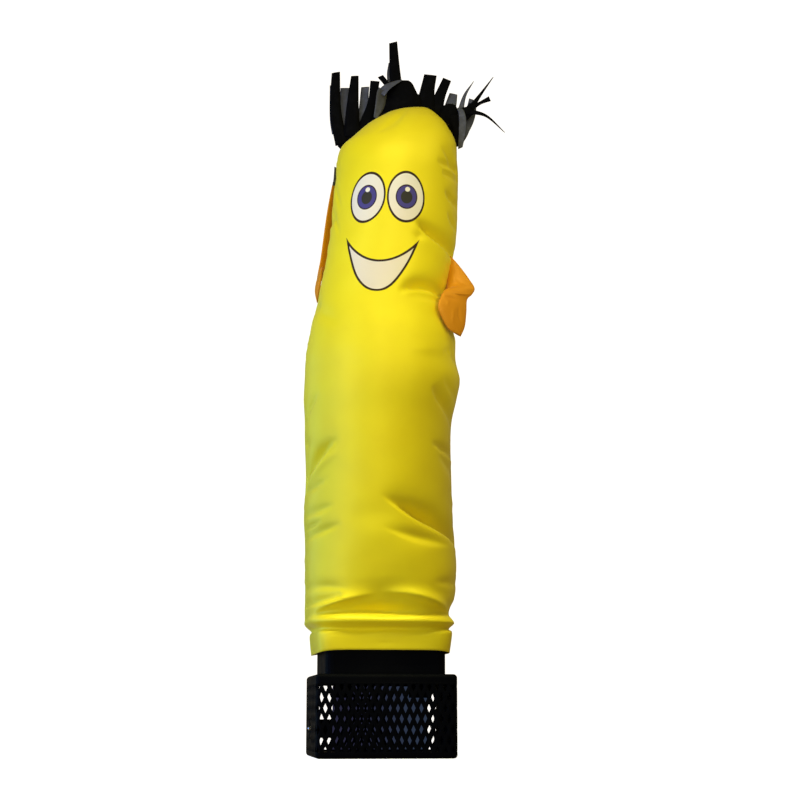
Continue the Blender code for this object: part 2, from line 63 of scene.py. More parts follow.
# The tube ---------------------------------------------------------------------------------------
# Sections in millimetres and degrees: left and right are the seams, y is the middle, front and
# back are the half depths, power is the squareness (2 is an ellipse) and turn is the twist from
# the base.
Section = namedtuple("Section", "z left right y front back power turn")
SECTIONS = [Section(*row) for row in (
    (66.5, -43.6, 42.6, 0, 43.1, 43.1, 9, 0), (74, -44.4, 43.6, 0, 43.7, 43.7, 9, 0),
    (81.5, -45, 44.6, 0, 44, 44, 8, 0), (84, -45.2, 44.4, 0, 43.8, 43.8, 6.5, 0),
    (89, -48.2, 46.4, 0, 46.8, 46.6, 4.6, 0), (96, -49.4, 45.2, 0, 47, 47.2, 3.6, 0),
    (103, -49.6, 48.6, 0, 46.6, 48, 3, 0), (116, -50, 50.8, 0, 49, 49.2, 2.6, -1),
    (143, -50.4, 50.6, 0.3, 50.2, 49.6, 2.2, -2), (157, -51.2, 49.4, 0.5, 49.4, 50, 2.1, -2),
    (184, -50.1, 48.8, 1, 49.8, 49, 2, -3), (211, -51, 48.3, 1.4, 49.6, 49.6, 2, -4),
    (225, -51.2, 49.2, 1.6, 49.8, 50, 2, -5), (239, -52, 52.4, 1.8, 50.8, 50.6, 2, -6),
    (253, -51.6, 54.8, 2, 51.2, 50.8, 2, -7), (267, -50.9, 52, 2, 50.4, 50, 2, -8),
    (281, -49, 51.8, 2, 49, 48.8, 2, -9), (295, -46.4, 48.2, 2, 46.2, 46.8, 2, -10),
    (313, -42.4, 46.8, 1.8, 43.6, 44, 2, -12), (331, -38.4, 49.4, 1.6, 43, 43.2, 2, -13),
    (354, -35.1, 53.2, 1.2, 42.8, 42.6, 2, -14), (380, -33.2, 54.2, 0.8, 42.2, 41.6, 2, -14),
    (398, -31.2, 54.6, 0.4, 40.2, 39.4, 2, -14), (410, -30.6, 53.8, 0.2, 36.8, 36.2, 2, -14),
    (419, -27.8, 53.6, 0, 32.6, 32.2, 2, -14), (425, -21.5, 51.9, -0.5, 28.8, 28.6, 2, -14),
    (431, -15.2, 48.8, -0.9, 24.2, 24, 2, -14), (437, -8.4, 45.2, -1.3, 18.6, 18.6, 2, -14),
    (442, -0.4, 40.4, -1.7, 12.8, 13, 2, -14), (445.6, 6, 36.4, -2.1, 7.8, 8, 2, -14),
    (448, 14, 32.4, -2.6, 3.2, 3.2, 2, -14), (448.8, 18, 29, -2.8, 0.5, 0.5, 2, -14),
)]
TUBE = np.array(SECTIONS, float)
HEM_Z, DOME_Z, TOP_Z = 66.5, 415.0, 448.8
ROW_STEP = 1.85             # height of a row of faces on the tube, in millimetres
FOLDS_Z, FOLD_STEP = 170.0, 1.3     # the same below FOLDS_Z, where the folds are
DOME_STEP = 0.62            # the same above DOME_Z, where the head closes
COLUMNS = 172               # faces across each panel
HEM_TURN = 6.0              # height of the hem's turned-in layer, in millimetres
HEM_ROWS, HEM_ROUND = 5, 0.3        # rows of that layer, and height of the fold under it
HEM_GAP = 0.6               # from the cloth to its turned-in layer
HEM_RISE, HEM_FADE = 1.9, 14        # how much higher it hangs mid-way, fading over what height
CUFF_HALF, CUFF_TOP = 43.5, 84      # half of the cuff's width, and how high it reaches
FOLD_DROP = 2.4             # how much lower than its section the folded cloth above the cuff lies
FOLD_Z, FOLD_REACH = 88, 7  # the middle of that fold, and how far above and below it reaches
CLOTH_RADIUS = 47.0         # turns an angle round the tube into a distance on the cloth
SEAM_GAP = 0.02             # between the two panels' edges
FACE_TURN = -14.0           # where the face's middle looks, in degrees from the front
FACE_RADIUS = 42.5

# Creases, each through three places on the tube, given by the angle from the front and the height,
# with how far it reaches above and below its line.  A ridge's depth is positive, a valley's
# negative.  A crease that runs on to a side seam keeps its depth there; its other ends fade out.
Crease = namedtuple("Crease", "a1 z1 a2 z2 a3 z3 above below depth")
CREASES = [Crease(*row) for row in (
    # the cuff and the folds where the cloth comes off it
    (-100, 83, -20, 81.5, 95, 83.2, 2.4, 1.2, -3), (-100, 87.8, -5, 86.6, 95, 86.8, 2.6, 2, 1.5),
    (2, 78.9, 26, 79.4, 44, 82, 1.6, 1, -1.7), (-44, 78, -24, 79.2, -2, 79.8, 1.5, 1, -1.3),
    (-16, 70.9, -1, 71.3, 14, 70.9, 1.3, 0.9, -0.45), (-60, 91.6, 0, 92.6, 58, 91, 7.6, 2.7, -5),
    (-98, 90.4, -4, 92.4, 95, 90.4, 6, 2.4, -2.3), (-66, 86.5, -36, 98.6, -6, 103.6, 6, 2.4, 2.5),
    (-8, 104.4, 28, 101.6, 62, 88.5, 6, 2.4, 3.2),
    (-98, 108, -52, 109.5, -26, 104.5, 5, 3.2, -1.3),
    (-98, 98, -46, 100, -32, 104.5, 4, 2.2, -2.2), (98, 114, 54, 112.6, 34, 111.6, 5, 3.4, -1),
    # the front
    (98, 136, 36, 150.6, -6, 168.5, 10, 2.4, -5.9), (58, 136.6, 26, 140, -8, 147.5, 7, 4, -2),
    (-98, 147.8, -70, 150, -52, 152.4, 2.6, 1.6, -2),
    (-98, 140, -56, 145.4, -33, 149.5, 4.5, 3, -1.6),
    (-98, 157, -60, 159.4, -40, 162, 4.5, 3.4, -1.6),
    (-98, 174, -66, 175.6, -44, 181.5, 2.8, 2, -1.7),
    (-98, 172, -64, 194.4, -34, 205.2, 6.5, 2.8, -5),
    (-98, 164.5, -61, 187.5, -31, 199.5, 3.2, 3.2, 1.2),
    (-98, 212, -73, 230, -56, 237.6, 4, 2.4, -2.2),
    (98, 198.5, 60, 201.4, 36, 204.5, 3.6, 2.4, -2.7), (98, 184, 66, 190.5, 42, 197, 5, 4.4, -1.4),
    (98, 214, 52, 232.5, 34, 242, 7, 4, -3.1), (98, 232, 60, 242.6, 44, 249, 3, 2.4, -1.3),
    (98, 260, 68, 263.4, 60, 268, 3, 1, -1.3), (98, 277, 57, 269, 51, 265.6, 2.2, 0.9, -1),
    (98, 274, 36, 267.4, 8, 265.6, 9, 5.5, 0.9), (98, 305, 35, 310.2, 8, 302.6, 6.4, 2, -5.6),
    (98, 298, 40, 303.6, 14, 299.6, 4.5, 2.6, -1.6),
    (98, 334, 37, 346.4, 13, 355.4, 5.4, 2.2, -5.5),
    (28, 342, 19, 344.4, 9, 347.2, 2.6, 1.5, -1.1), (98, 402, 50, 399, 34, 400.4, 3, 1.6, -2.4),
    (98, 392.6, 53, 391.6, 40, 392.6, 2.6, 1.2, -2.4), (98, 370, 58, 375.4, 44, 381, 4, 1.8, -3.2),
    (98, 351, 62, 359.2, 48, 366, 3.6, 1.6, -3), (98, 384, 62, 400, 40, 412, 7, 3, -3),
    (-8, 441, -24, 431, -40, 418, 12, 11, -1.3), (-98, 398, -76, 380.4, -62, 364, 2.4, 1.6, -0.9),
    (-98, 380, -74, 361, -60, 346, 2.4, 1.6, -0.8), (-98, 306, -62, 293, -40, 283, 6, 5, -0.8),
    # the back
    (82, 83, 180, 81.4, 278, 83, 2.6, 1.1, -2.4), (82, 87.4, 170, 86.8, 278, 87.6, 2.6, 2, 1.5),
    (128, 91.6, 180, 93.4, 232, 91.6, 9, 2.7, -5), (120, 88, 140, 97.8, 162, 105, 5, 2.6, 2.2),
    (82, 306, 138, 314, 170, 322, 8, 2.8, -3.4), (278, 300, 226, 308, 192, 316, 7, 2.8, -3),
    (82, 178, 136, 158, 176, 143, 8, 2.4, -3.4), (278, 206, 226, 224, 196, 238, 6, 3, -2.6),
    (82, 268, 132, 258, 174, 246, 6, 3.4, -2.4), (278, 184, 232, 168, 194, 158, 6, 2.4, -2.8),
    (82, 226, 124, 216, 148, 212, 4, 2.6, -2), (278, 362, 226, 370, 200, 380, 5, 2.6, -2.2),
    (82, 356, 132, 348, 164, 342, 5, 2.6, -2.2), (178, 420, 186, 410, 190, 396, 3.6, 3.6, -1.2),
)]
SEAM_NEAR = 78              # an angle past which a crease has run on to a seam, in degrees
CREASE_FADE = 0.5           # share of a crease over which it fades out
CREASE_REACH = 3.2          # where a crease has died away, in its own widths
FREE_CLOTH = 95             # the height above which the cloth hangs free of the cuff
CREASE_GAIN = 1.6           # how much deeper the free cloth's creases are than the table says
BROAD_TAPER = 0.7           # how wide its broad side still is where it has faded out
NARROW_TAPER = 0.2          # the same for its narrow side
CREASE_STEPS = 8            # straight runs that stand for a crease's curve

# Short puckers that the side seams draw into the cloth: the heights between which they lie, how
# far the longest runs and how deep the deepest is.
PUCKERS = ((90, 408, 19.0, 1.25), (84, 116, 9.0, 0.6))
HEAD_PUCKERS = ((408, 446, 8.0, 0.55),)
PUCKER_STEP = 6.5           # average distance between two puckers, in millimetres
SEAM_DIP, DIP_REACH = 0.45, 1.3     # how far the cloth dips into a side seam, and over what width
CROWN_RADIUS = 12           # nearer to the tube's middle than this, every crease grows shallower
WAVES, WAVE_FADE = 9, 20    # slow waves in each panel, and the height over which they begin

# The print, in millimetres across from the face's middle and above the base's underside.
Eye = namedtuple("Eye", "x z half_wide half_high lean iris_x iris_z")
EYES = (
    Eye(-14.1, 371.9, 12.6, 17.2, 4.0, -0.2, 0.0),
    Eye(13.1, 371.3, 12.4, 17.4, -4.0, 0.3, -0.1),
)
EYE_FADE = 40               # height over which an eye's white turns warm
IRIS_HALF_WIDE, IRIS_HALF_HIGH = 7.4, 8.7
IRIS_LINE = 0.8             # width of the dark line round the iris
PUPIL_SHARE = 0.53          # the pupil's size in the iris's
PUPIL_DROP = 0.3            # from the iris's middle down to the pupil's
GLINT_RADIUS, GLINT_X, GLINT_Z = 1.7, 0.5, 5.2
OUTLINE = 1.5               # width of the print's lines
INK_EDGE = 0.22             # width over which the ink's edge fades
SMILE_HALF = 24.7
SMILE_CORNER_Z, SMILE_UPPER_Z, SMILE_LOWER_Z = 340.6, 326.5, 305.8
SMILE_UPPER_POWER, SMILE_LOWER_POWER = 2.0, 2.15
SMILE_X = -1.1              # where the middle between the smile's corners is
SMILE_SHEAR = 0.08          # how far the smile's middle wanders to the right on the way down
SMILE_TILT = 0.065          # how much lower its right side is

# The weave, in millimetres.
WARP_PITCH, WARP_SLANT, WEFT_PITCH = 0.42, 0.35, 0.5


# Shader arithmetic ------------------------------------------------------------------------------

class Wire:
    """One output of a material's nodes.  Arithmetic on it adds Math nodes."""

    def __init__(self, tree, socket=None):
        self.tree, self.socket = tree, socket

    def node(self, kind, settings=None, inputs=None, output=0):
        """Adds a node, sets its settings first and then its inputs' values or links."""
        made = self.tree.nodes.new(kind)
        for name, value in (settings or {}).items():
            setattr(made, name, value)
        for name, value in (inputs or {}).items():
            if isinstance(value, Wire):
                self.tree.links.new(value.socket, made.inputs[name])
            else:
                made.inputs[name].default_value = value
        return Wire(self.tree, made.outputs[output])

    def math(self, operation, *operands):
        """A Math node on this value and the operands; numbers and wires mix freely."""
        return self.node("ShaderNodeMath", {"operation": operation},
                         dict(enumerate((self, *operands))))

    def __add__(self, other):
        return self.math("ADD", other)

    def __sub__(self, other):
        return self.math("SUBTRACT", other)

    def __rsub__(self, other):
        return self.node("ShaderNodeMath", {"operation": "SUBTRACT"}, {0: other, 1: self})

    def __mul__(self, other):
        return self.math("MULTIPLY", other)

    def __truediv__(self, other):
        return self.math("DIVIDE", other)

    def __pow__(self, other):
        return self.math("POWER", other)

    def above(self, edge, soft):
        """0 below the edge and 1 above it, softened over the width given."""
        return self.node("ShaderNodeMapRange", {"interpolation_type": "SMOOTHSTEP"},
                         {"Value": self, "From Min": edge - soft / 2, "From Max": edge + soft / 2})

    def tint(self, under, over):
        """A colour that goes from under to over as this value goes from 0 to 1."""
        under, over = (value if isinstance(value, Wire) else (*value, 1.0)
                       for value in (under, over))
        return self.node("ShaderNodeMix", {"data_type": "RGBA", "clamp_factor": True},
                         {0: self, 6: under, 7: over}, output=2)

    def place(self):
        """Where the surface is, in the object's own coordinates."""
        return self.node("ShaderNodeTexCoord", output=3)

    def parts(self):
        """The three components of a vector."""
        made = self.node("ShaderNodeSeparateXYZ", None, {0: self}).socket.node
        return [Wire(self.tree, socket) for socket in made.outputs]

    def stretched(self, x, y, z):
        """This vector with each component multiplied by its own number."""
        return self.node("ShaderNodeVectorMath", {"operation": "MULTIPLY"}, {0: self, 1: (x, y, z)})

    def noise(self, scale, detail=2.0, roughness=0.5, distortion=0.0):
        """A noise from 0 to 1 at this vector."""
        return self.node("ShaderNodeTexNoise", {"noise_dimensions": "3D"},
                         {"Vector": self, "Scale": scale, "Detail": detail,
                          "Roughness": roughness, "Distortion": distortion})

    def bump(self, distance, strength=1.0, below=None):
        """The normal bent by this height, over another bent normal if one is given."""
        inputs = {"Height": self, "Distance": distance, "Strength": strength}
        if below is not None:
            inputs["Normal"] = below
        return self.node("ShaderNodeBump", None, inputs)


def new_finish(name, fixed):
    """An empty material: the material, its shader and a wire to start from."""
    made = bpy.data.materials.new(name)
    made.use_nodes = True
    shader = made.node_tree.nodes["Principled BSDF"]
    for socket, value in fixed.items():
        shader.inputs[socket].default_value = value
    return made, shader, Wire(made.node_tree)


def feed(start, shader, **wires):
    """Links wires into the shader's sockets, named with underscores for spaces."""
    for name, wire in wires.items():
        start.tree.links.new(wire.socket, shader.inputs[name.replace("_", " ")])


def lighter(colour, gain, lift=0.0):
    """The colour where it is rubbed or worn."""
    return tuple(min(1.0, level * gain + lift) for level in colour)


def satin_weave(cloth):
    """The satin's fine diagonal weave and its soft crinkles, as a bent normal."""
    u, v, _ = cloth.parts()
    warp = ((u + v * WARP_SLANT) * (math.tau / (WARP_PITCH * MM))).math("SINE")
    weft = (v * (math.tau / (WEFT_PITCH * MM))).math("SINE")
    thread = warp * 0.6 + weft * 0.4
    crinkle = cloth.stretched(1, 1.6, 1).noise(95, 3.0, 0.55, 0.4)
    fine = cloth.stretched(1, 2.2, 1).noise(420, 2.0, 0.5)
    normal = fine.bump(0.0001, 0.12, crinkle.bump(0.0007, 0.16))
    return thread.bump(0.00001, 0.35, normal)


def satin(name, colour, shade):
    """Satin of one colour, which goes a little to its shade in patches.  Needs the map Cloth."""
    made, shader, start = new_finish(name, {"Specular IOR Level": 0.3, "Metallic": 0.15,
                                            "Sheen Weight": 0.1, "Sheen Roughness": 0.4})
    cloth = start.node("ShaderNodeUVMap", {"uv_map": "Cloth"})
    patches = cloth.noise(38, 2.0, 0.5).above(0.52, 0.5)
    feed(start, shader, Base_Color=(patches * 0.35).tint(colour, shade),
         Roughness=cloth.noise(60, 2.0) * 0.08 + 0.44, Normal=satin_weave(cloth))
    return made, shader, start


def ellipse_distance(x, z, centre_x, centre_z, half_wide, half_high, lean=0.0):
    """How far outside an ellipse a place is, in millimetres: about 0 on its line."""
    turn = math.radians(lean)
    dx, dz = x - centre_x, z - centre_z
    across = (dx * math.cos(turn) - dz * math.sin(turn)) * (1 / half_wide)
    up = (dx * math.sin(turn) + dz * math.cos(turn)) * (1 / half_high)
    radius = (across * across + up * up).math("SQRT")
    return (radius - 1) * ((half_wide + half_high) / 2)


def printed_satin(name, settings):
    """The front panel's satin with a plain smiling face printed on it.  Needs the map Print."""
    made, shader, start = satin(name, settings.tube_colour, settings.tube_shade)
    place = start.node("ShaderNodeUVMap", {"uv_map": "Print"}).stretched(1 / MM, 1 / MM, 1)
    x, z, _ = place.parts()
    colour = Wire(start.tree, shader.inputs["Base Color"].links[0].from_socket)

    def fill(distance, ink, edge=0.0, soft=INK_EDGE):
        """The colour so far, covered with ink where the distance is below the edge."""
        return (1 - distance.above(edge, soft)).tint(colour, ink)

    for eye in EYES:
        rim = ellipse_distance(x, z, eye.x, eye.z, eye.half_wide, eye.half_high, eye.lean)
        warmth = ((z - eye.z) * (-1 / EYE_FADE) + 0.35).math("MAXIMUM", 0.0)
        colour = fill(rim, warmth.tint(settings.print_light, settings.print_warm))
        colour = fill(rim.math("ABSOLUTE"), settings.print_line, OUTLINE / 2)
        iris_x, iris_z = eye.x + eye.iris_x, eye.z + eye.iris_z
        iris = ellipse_distance(x, z, iris_x, iris_z, IRIS_HALF_WIDE, IRIS_HALF_HIGH, eye.lean)
        colour = fill(iris, settings.print_line)
        colour = fill(iris, settings.iris_colour, -IRIS_LINE)
        pupil = ellipse_distance(x, z, iris_x, iris_z - PUPIL_DROP, IRIS_HALF_WIDE * PUPIL_SHARE,
                                 IRIS_HALF_HIGH * PUPIL_SHARE, eye.lean)
        colour = fill(pupil, settings.pupil_colour, soft=INK_EDGE * 2)
        glint = ellipse_distance(x, z, iris_x + GLINT_X, iris_z + GLINT_Z, GLINT_RADIUS,
                                 GLINT_RADIUS)
        colour = fill(glint, settings.print_light)
    x = x - SMILE_X + (z - SMILE_CORNER_Z) * SMILE_SHEAR
    z = z + x * SMILE_TILT
    reach = x.math("ABSOLUTE") * (1 / SMILE_HALF)
    above = []
    for lowest, power in ((SMILE_UPPER_Z, SMILE_UPPER_POWER), (SMILE_LOWER_Z, SMILE_LOWER_POWER)):
        rise = SMILE_CORNER_Z - lowest
        # a lip climbs steeply at its ends, so its distance is taken across the slope
        slope = reach ** (power - 1) * (power * rise / SMILE_HALF)
        above.append((z - ((reach ** power) * rise + lowest)) / (slope * slope + 1).math("SQRT"))
    inside = (above[0] * -1).math("MINIMUM", above[1])
    colour = inside.above(0, INK_EDGE).tint(colour, settings.print_warm)
    feed(start, shader, Base_Color=fill(inside.math("ABSOLUTE"), settings.print_line, OUTLINE / 2))
    return made


def ribbon_finish(name, colour):
    """Cut ribbon: a close weave, nearly matt, a little lighter where it has rubbed."""
    made, shader, start = new_finish(name, {"Specular IOR Level": 0.05})
    place = start.place()
    worn = place.noise(240, 3.0, 0.6).above(0.6, 0.3)
    ribs = place.stretched(1, 1, 4).noise(1500, 2.0, 0.5)
    feed(start, shader, Base_Color=(worn * 0.5).tint(tuple(colour), lighter(colour, 1.7, 0.004)),
         Roughness=worn * 0.1 + 0.75, Normal=ribs.bump(0.00008, 0.5))
    return made


def moulding_finish(name, colour):
    """Black moulded plastic with a fine spark texture, polished a little where it is touched."""
    made, shader, start = new_finish(name, {"Specular IOR Level": 0.035})
    place = start.place()
    rubbed = place.noise(70, 3.0, 0.6).above(0.55, 0.35)
    waviness = place.noise(45, 1.0).bump(0.0004, 0.25)
    grain = place.noise(2600, 2.0, 0.6).bump(0.00004, 0.5, waviness)
    feed(start, shader, Base_Color=(rubbed * 0.4).tint(tuple(colour), lighter(colour, 1.5)),
         Roughness=0.66 - rubbed * 0.1, Normal=grain)
    return made


def plated_finish(name):
    """The bright plated metal of the inlet's pin and sleeve."""
    made, shader, start = new_finish(name, {"Metallic": 1.0})
    scuffs = start.place().stretched(1, 6, 6).noise(900, 3.0, 0.6)
    feed(start, shader, Base_Color=scuffs.tint((0.62, 0.62, 0.64), (0.8, 0.8, 0.8)),
         Roughness=scuffs * 0.2 + 0.15)
    return made


# Meshes -----------------------------------------------------------------------------------------

def link_mesh(name, mesh, finishes):
    """Makes a piece from a mesh, gives it its finishes and lets it ride on the frame."""
    for finish in finishes:
        mesh.materials.append(finish)
    piece = bpy.data.objects.new(name, mesh)
    bpy.context.scene.collection.objects.link(piece)
    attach(piece, "root")
    return piece


def mesh_from_form(name, form, outwards=True):
    """Turns a bmesh into a mesh, with its normals outwards if asked."""
    mesh = bpy.data.meshes.new(name)
    if outwards:
        bmesh.ops.recalc_face_normals(form, faces=form.faces)
    form.to_mesh(mesh)
    form.free()
    return mesh


def mapped_mesh(name, points, faces, maps):
    """A smooth mesh from a grid of points and its faces, with the given maps of the grid."""
    mesh = bpy.data.meshes.new(name)
    mesh.from_pydata(points.reshape(-1, 3).tolist(), [], faces)
    corner = np.empty(len(mesh.loops), np.int32)
    mesh.loops.foreach_get("vertex_index", corner)
    for map_name, values in maps.items():
        layer = mesh.uv_layers.new(name=map_name)
        layer.data.foreach_set("uv", values.reshape(-1, 2)[corner].astype(np.float32).ravel())
    mesh.shade_smooth()
    return mesh


def smooth_but_sharp(mesh, degrees):
    """Smooth shading that breaks where two faces meet at more than the angle."""
    mesh.shade_smooth()
    mesh.set_sharp_from_angle(angle=math.radians(degrees))


def thicken(piece, thickness, offset=-1.0, reverse=0):
    """Makes a sheet as thick as its cloth.  reverse is the finish of its other side."""
    step = piece.modifiers.new("cloth", "SOLIDIFY")
    step.thickness = thickness
    step.offset = offset
    step.use_quality_normals = True
    step.material_offset = reverse


def sections_at(heights):
    """The tube's section at each height, on a smooth curve through the table's rows."""
    count = len(TUBE)
    before = np.maximum(np.arange(count) - 1, 0)
    after = np.minimum(np.arange(count) + 1, count - 1)
    slopes = (TUBE[after] - TUBE[before]) / (TUBE[after, :1] - TUBE[before, :1])
    index = np.clip(np.searchsorted(TUBE[:, 0], heights, side="right") - 1, 0, count - 2)
    low, high = TUBE[index], TUBE[index + 1]
    span = high[:, :1] - low[:, :1]
    t = (np.asarray(heights)[:, None] - low[:, :1]) / span
    return (low * (1 + 2 * t) * (1 - t) ** 2 + slopes[index] * span * t * (1 - t) ** 2
            + high * t * t * (3 - 2 * t) - slopes[index + 1] * span * t * t * (1 - t))


def add_crease(heights, across, up, places, above, below, depth, keep=(False, False)):
    """Adds one crease to the cloth's heights, at places across and up the cloth in millimetres."""
    start, middle, end = (np.array(place, float) for place in places)
    reach = CREASE_REACH * max(above, below) + 3
    low = np.minimum(np.minimum(start, middle), end) - reach
    high = np.maximum(np.maximum(start, middle), end) + reach
    near = (across > low[0]) & (across < high[0]) & (up > low[1]) & (up < high[1])
    if not near.any():
        return
    x, z = across[near], up[near]
    pull = 2 * middle - (start + end) / 2
    steps = np.linspace(0, 1, CREASE_STEPS + 1)[:, None]
    line = start * (1 - steps) ** 2 + pull * 2 * steps * (1 - steps) + end * steps ** 2
    best = np.full(x.shape, np.inf)
    along, side = np.zeros(x.shape), np.zeros(x.shape)
    for index, (from_, to) in enumerate(zip(line, line[1:])):
        run = to - from_
        t = np.clip(((x - from_[0]) * run[0] + (z - from_[1]) * run[1]) / (run @ run), 0, 1)
        dx, dz = x - from_[0] - t * run[0], z - from_[1] - t * run[1]
        distance = np.hypot(dx, dz)
        closer = distance < best
        best = np.where(closer, distance, best)
        along = np.where(closer, (index + t) / CREASE_STEPS, along)
        side = np.where(closer, np.sign((run[0] * dz - run[1] * dx) * (run[0] or 1.0)), side)
    fade = np.ones(x.shape)
    for kept, left in zip(keep, (along, 1 - along)):
        if not kept:
            t = np.clip(left / CREASE_FADE, 0, 1)
            fade *= t * t * (3 - 2 * t)
    taper = np.where((side > 0) == (above > below), BROAD_TAPER, NARROW_TAPER)
    wide = np.where(side > 0, above, below) * (taper + (1 - taper) * fade)
    heights[near] += depth * fade / (1 + (best / wide) ** 2) ** 2


def tabled_creases(facing, z):
    """The cloth's heights where it faces each way, from the table of creases."""
    out = np.zeros_like(z)
    for crease in CREASES:
        keep = [abs((angle + 90) % 180 - 90) > SEAM_NEAR for angle in (crease.a1, crease.a3)]
        gain = 1 if crease.z2 < FREE_CLOTH else CREASE_GAIN
        for lap in (-360, 0, 360):
            places = [(math.radians(angle + lap) * CLOTH_RADIUS, height)
                      for angle, height in zip(crease[0:6:2], crease[1:6:2])]
            add_crease(out, np.radians(facing) * CLOTH_RADIUS, z, places, crease.above,
                       crease.below, crease.depth * gain, keep)
    return out


def add_puckers(out, from_seam, z, rng, groups):
    """Adds random short creases that start at a seam, which lies at no distance from itself."""
    for low, high, reach, strength in groups:
        up = low
        while up < high:
            up += rng.uniform(0.5, 1.5) * PUCKER_STEP
            start, length = rng.uniform(0.6, 2.0), rng.uniform(0.45, 1.0) * reach
            tilt = rng.uniform(-0.45, 0.45)
            bend = rng.uniform(-0.12, 0.12) * length
            width = rng.uniform(0.8, 1.9)
            height = rng.uniform(0.35, 1.0) * strength * rng.choice((-1, -1, 1))
            places = ((start, up), (start + length / 2, up + tilt * length / 2 + bend),
                      (start + length, up + tilt * length))
            add_crease(out, from_seam, z, places, width * rng.uniform(1.0, 2.4), width, height,
                       (True, False))


def uneven(run, z, rng):
    """The slow unevenness of blown-up cloth: a few long waves at random slants."""
    total = np.zeros_like(run)
    for _ in range(WAVES):
        slant = rng.uniform(-0.7, 0.7)
        length = rng.uniform(22, 60)
        phase = rng.uniform(0, math.tau)
        swell = np.sin((run * slant + z) / length * math.tau + phase)
        total += rng.uniform(0.03, 0.08) * swell * np.sin(z / rng.uniform(40, 90) + phase)
    return total * np.clip((z - CUFF_TOP) / WAVE_FADE, 0, 1)


def tube_rows():
    """Heights of the rows of faces, and how far each lies in.  The hem's turned-in layer comes
    first."""
    turned = np.linspace(HEM_Z + HEM_TURN, HEM_Z + HEM_ROUND, HEM_ROWS)
    folds = np.linspace(HEM_Z + HEM_ROUND, FOLDS_Z, round((FOLDS_Z - HEM_Z) / FOLD_STEP),
                        endpoint=False)
    body = np.linspace(FOLDS_Z, DOME_Z, round((DOME_Z - FOLDS_Z) / ROW_STEP), endpoint=False)
    dome = np.linspace(DOME_Z, TOP_Z - 0.01, round((TOP_Z - DOME_Z) / DOME_STEP))
    rows = np.concatenate([turned, [HEM_Z], folds, body, dome])
    inset = np.zeros(len(rows))
    inset[:len(turned)], inset[len(turned)] = HEM_GAP, HEM_GAP / 2
    return rows, inset


def panel_points(start_angle, seed):
    """A panel of the tube as rows of points, with its maps: on the cloth, and for the print."""
    rng = random.Random(seed)
    rows, inset = tube_rows()
    z = np.repeat(rows[:, None], COLUMNS + 1, axis=1)
    around = np.repeat((start_angle + np.pi * np.linspace(0.0, 1.0, COLUMNS + 1))[None, :],
                       len(rows), axis=0)
    drop = FOLD_DROP * np.exp(-((rows - FOLD_Z) / FOLD_REACH) ** 2)
    left, right, middle_y, front, back, power, turn = sections_at(rows + drop).T[1:, :, None]
    across, deep = np.cos(around), np.sin(around)
    depth = np.where(deep < 0, front, back)
    size = (np.abs(across) ** power + np.abs(deep) ** power) ** (1 / power)
    x, y = (right - left) / 2 * across / size, depth * deep / size
    centre = 0.0 if start_angle > 1 else 180.0
    facing = np.degrees(np.arctan2(x, -y)) + turn
    facing = (facing - centre + 180) % 360 - 180 + centre
    out = tabled_creases(facing, z)
    runs = np.hypot(np.diff(x, axis=1), np.diff(y, axis=1))
    run = np.concatenate([np.zeros((len(rows), 1)), np.cumsum(runs, axis=1)], axis=1)
    # the distance from each side seam, measured along the row
    seams = (run, run[:, -1:] - run)
    for from_seam in seams:
        add_puckers(out, from_seam, z, rng, PUCKERS)
        out -= SEAM_DIP * np.exp(-(from_seam / DIP_REACH) ** 2)
    out += uneven(run, z, rng)
    for from_seam in seams:
        add_puckers(out, from_seam, z, rng, HEAD_PUCKERS)
    out *= np.minimum(1.0, np.hypot(x, y) / CROWN_RADIUS) * np.abs(deep) ** 0.6
    out -= inset[:, None]
    grow = 1 + out / np.maximum(np.hypot(x, y), 0.2)
    x, y = x * grow, y * grow
    y += SEAM_GAP / 2 if centre else -SEAM_GAP / 2
    turn = np.radians(turn)
    rise = (HEM_RISE * (1 - np.minimum(1, np.abs(x) / CUFF_HALF) ** 8)
            * np.clip((CUFF_TOP - z) / HEM_FADE, 0, 1) ** 2)
    points = np.stack([(left + right) / 2 + x * np.cos(turn) - y * np.sin(turn),
                       middle_y + x * np.sin(turn) + y * np.cos(turn), z + rise], axis=-1)
    cloth = np.stack([run - run[:, -1:] / 2, z], axis=-1)
    printing = np.stack([np.radians(facing - FACE_TURN) * FACE_RADIUS, z], axis=-1)
    return points * MM, {"Cloth": cloth * MM, "Print": printing * MM}


def build_panel(name, node, start_angle, seed, finish, settings):
    """One of the tube's two panels."""
    points, maps = panel_points(start_angle, seed)
    if node != "body_front":
        del maps["Print"]
    rows, columns = points.shape[:2]
    index = np.arange(rows * columns).reshape(rows, columns)
    faces = np.stack([index[:-1, :-1], index[:-1, 1:], index[1:, 1:], index[1:, :-1]], axis=-1)
    mesh = mapped_mesh(name, points, faces.reshape(-1, 4).tolist(), maps)
    piece = link_mesh(name, mesh, [finish])
    thicken(piece, settings.cloth_thickness)
    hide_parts(node)


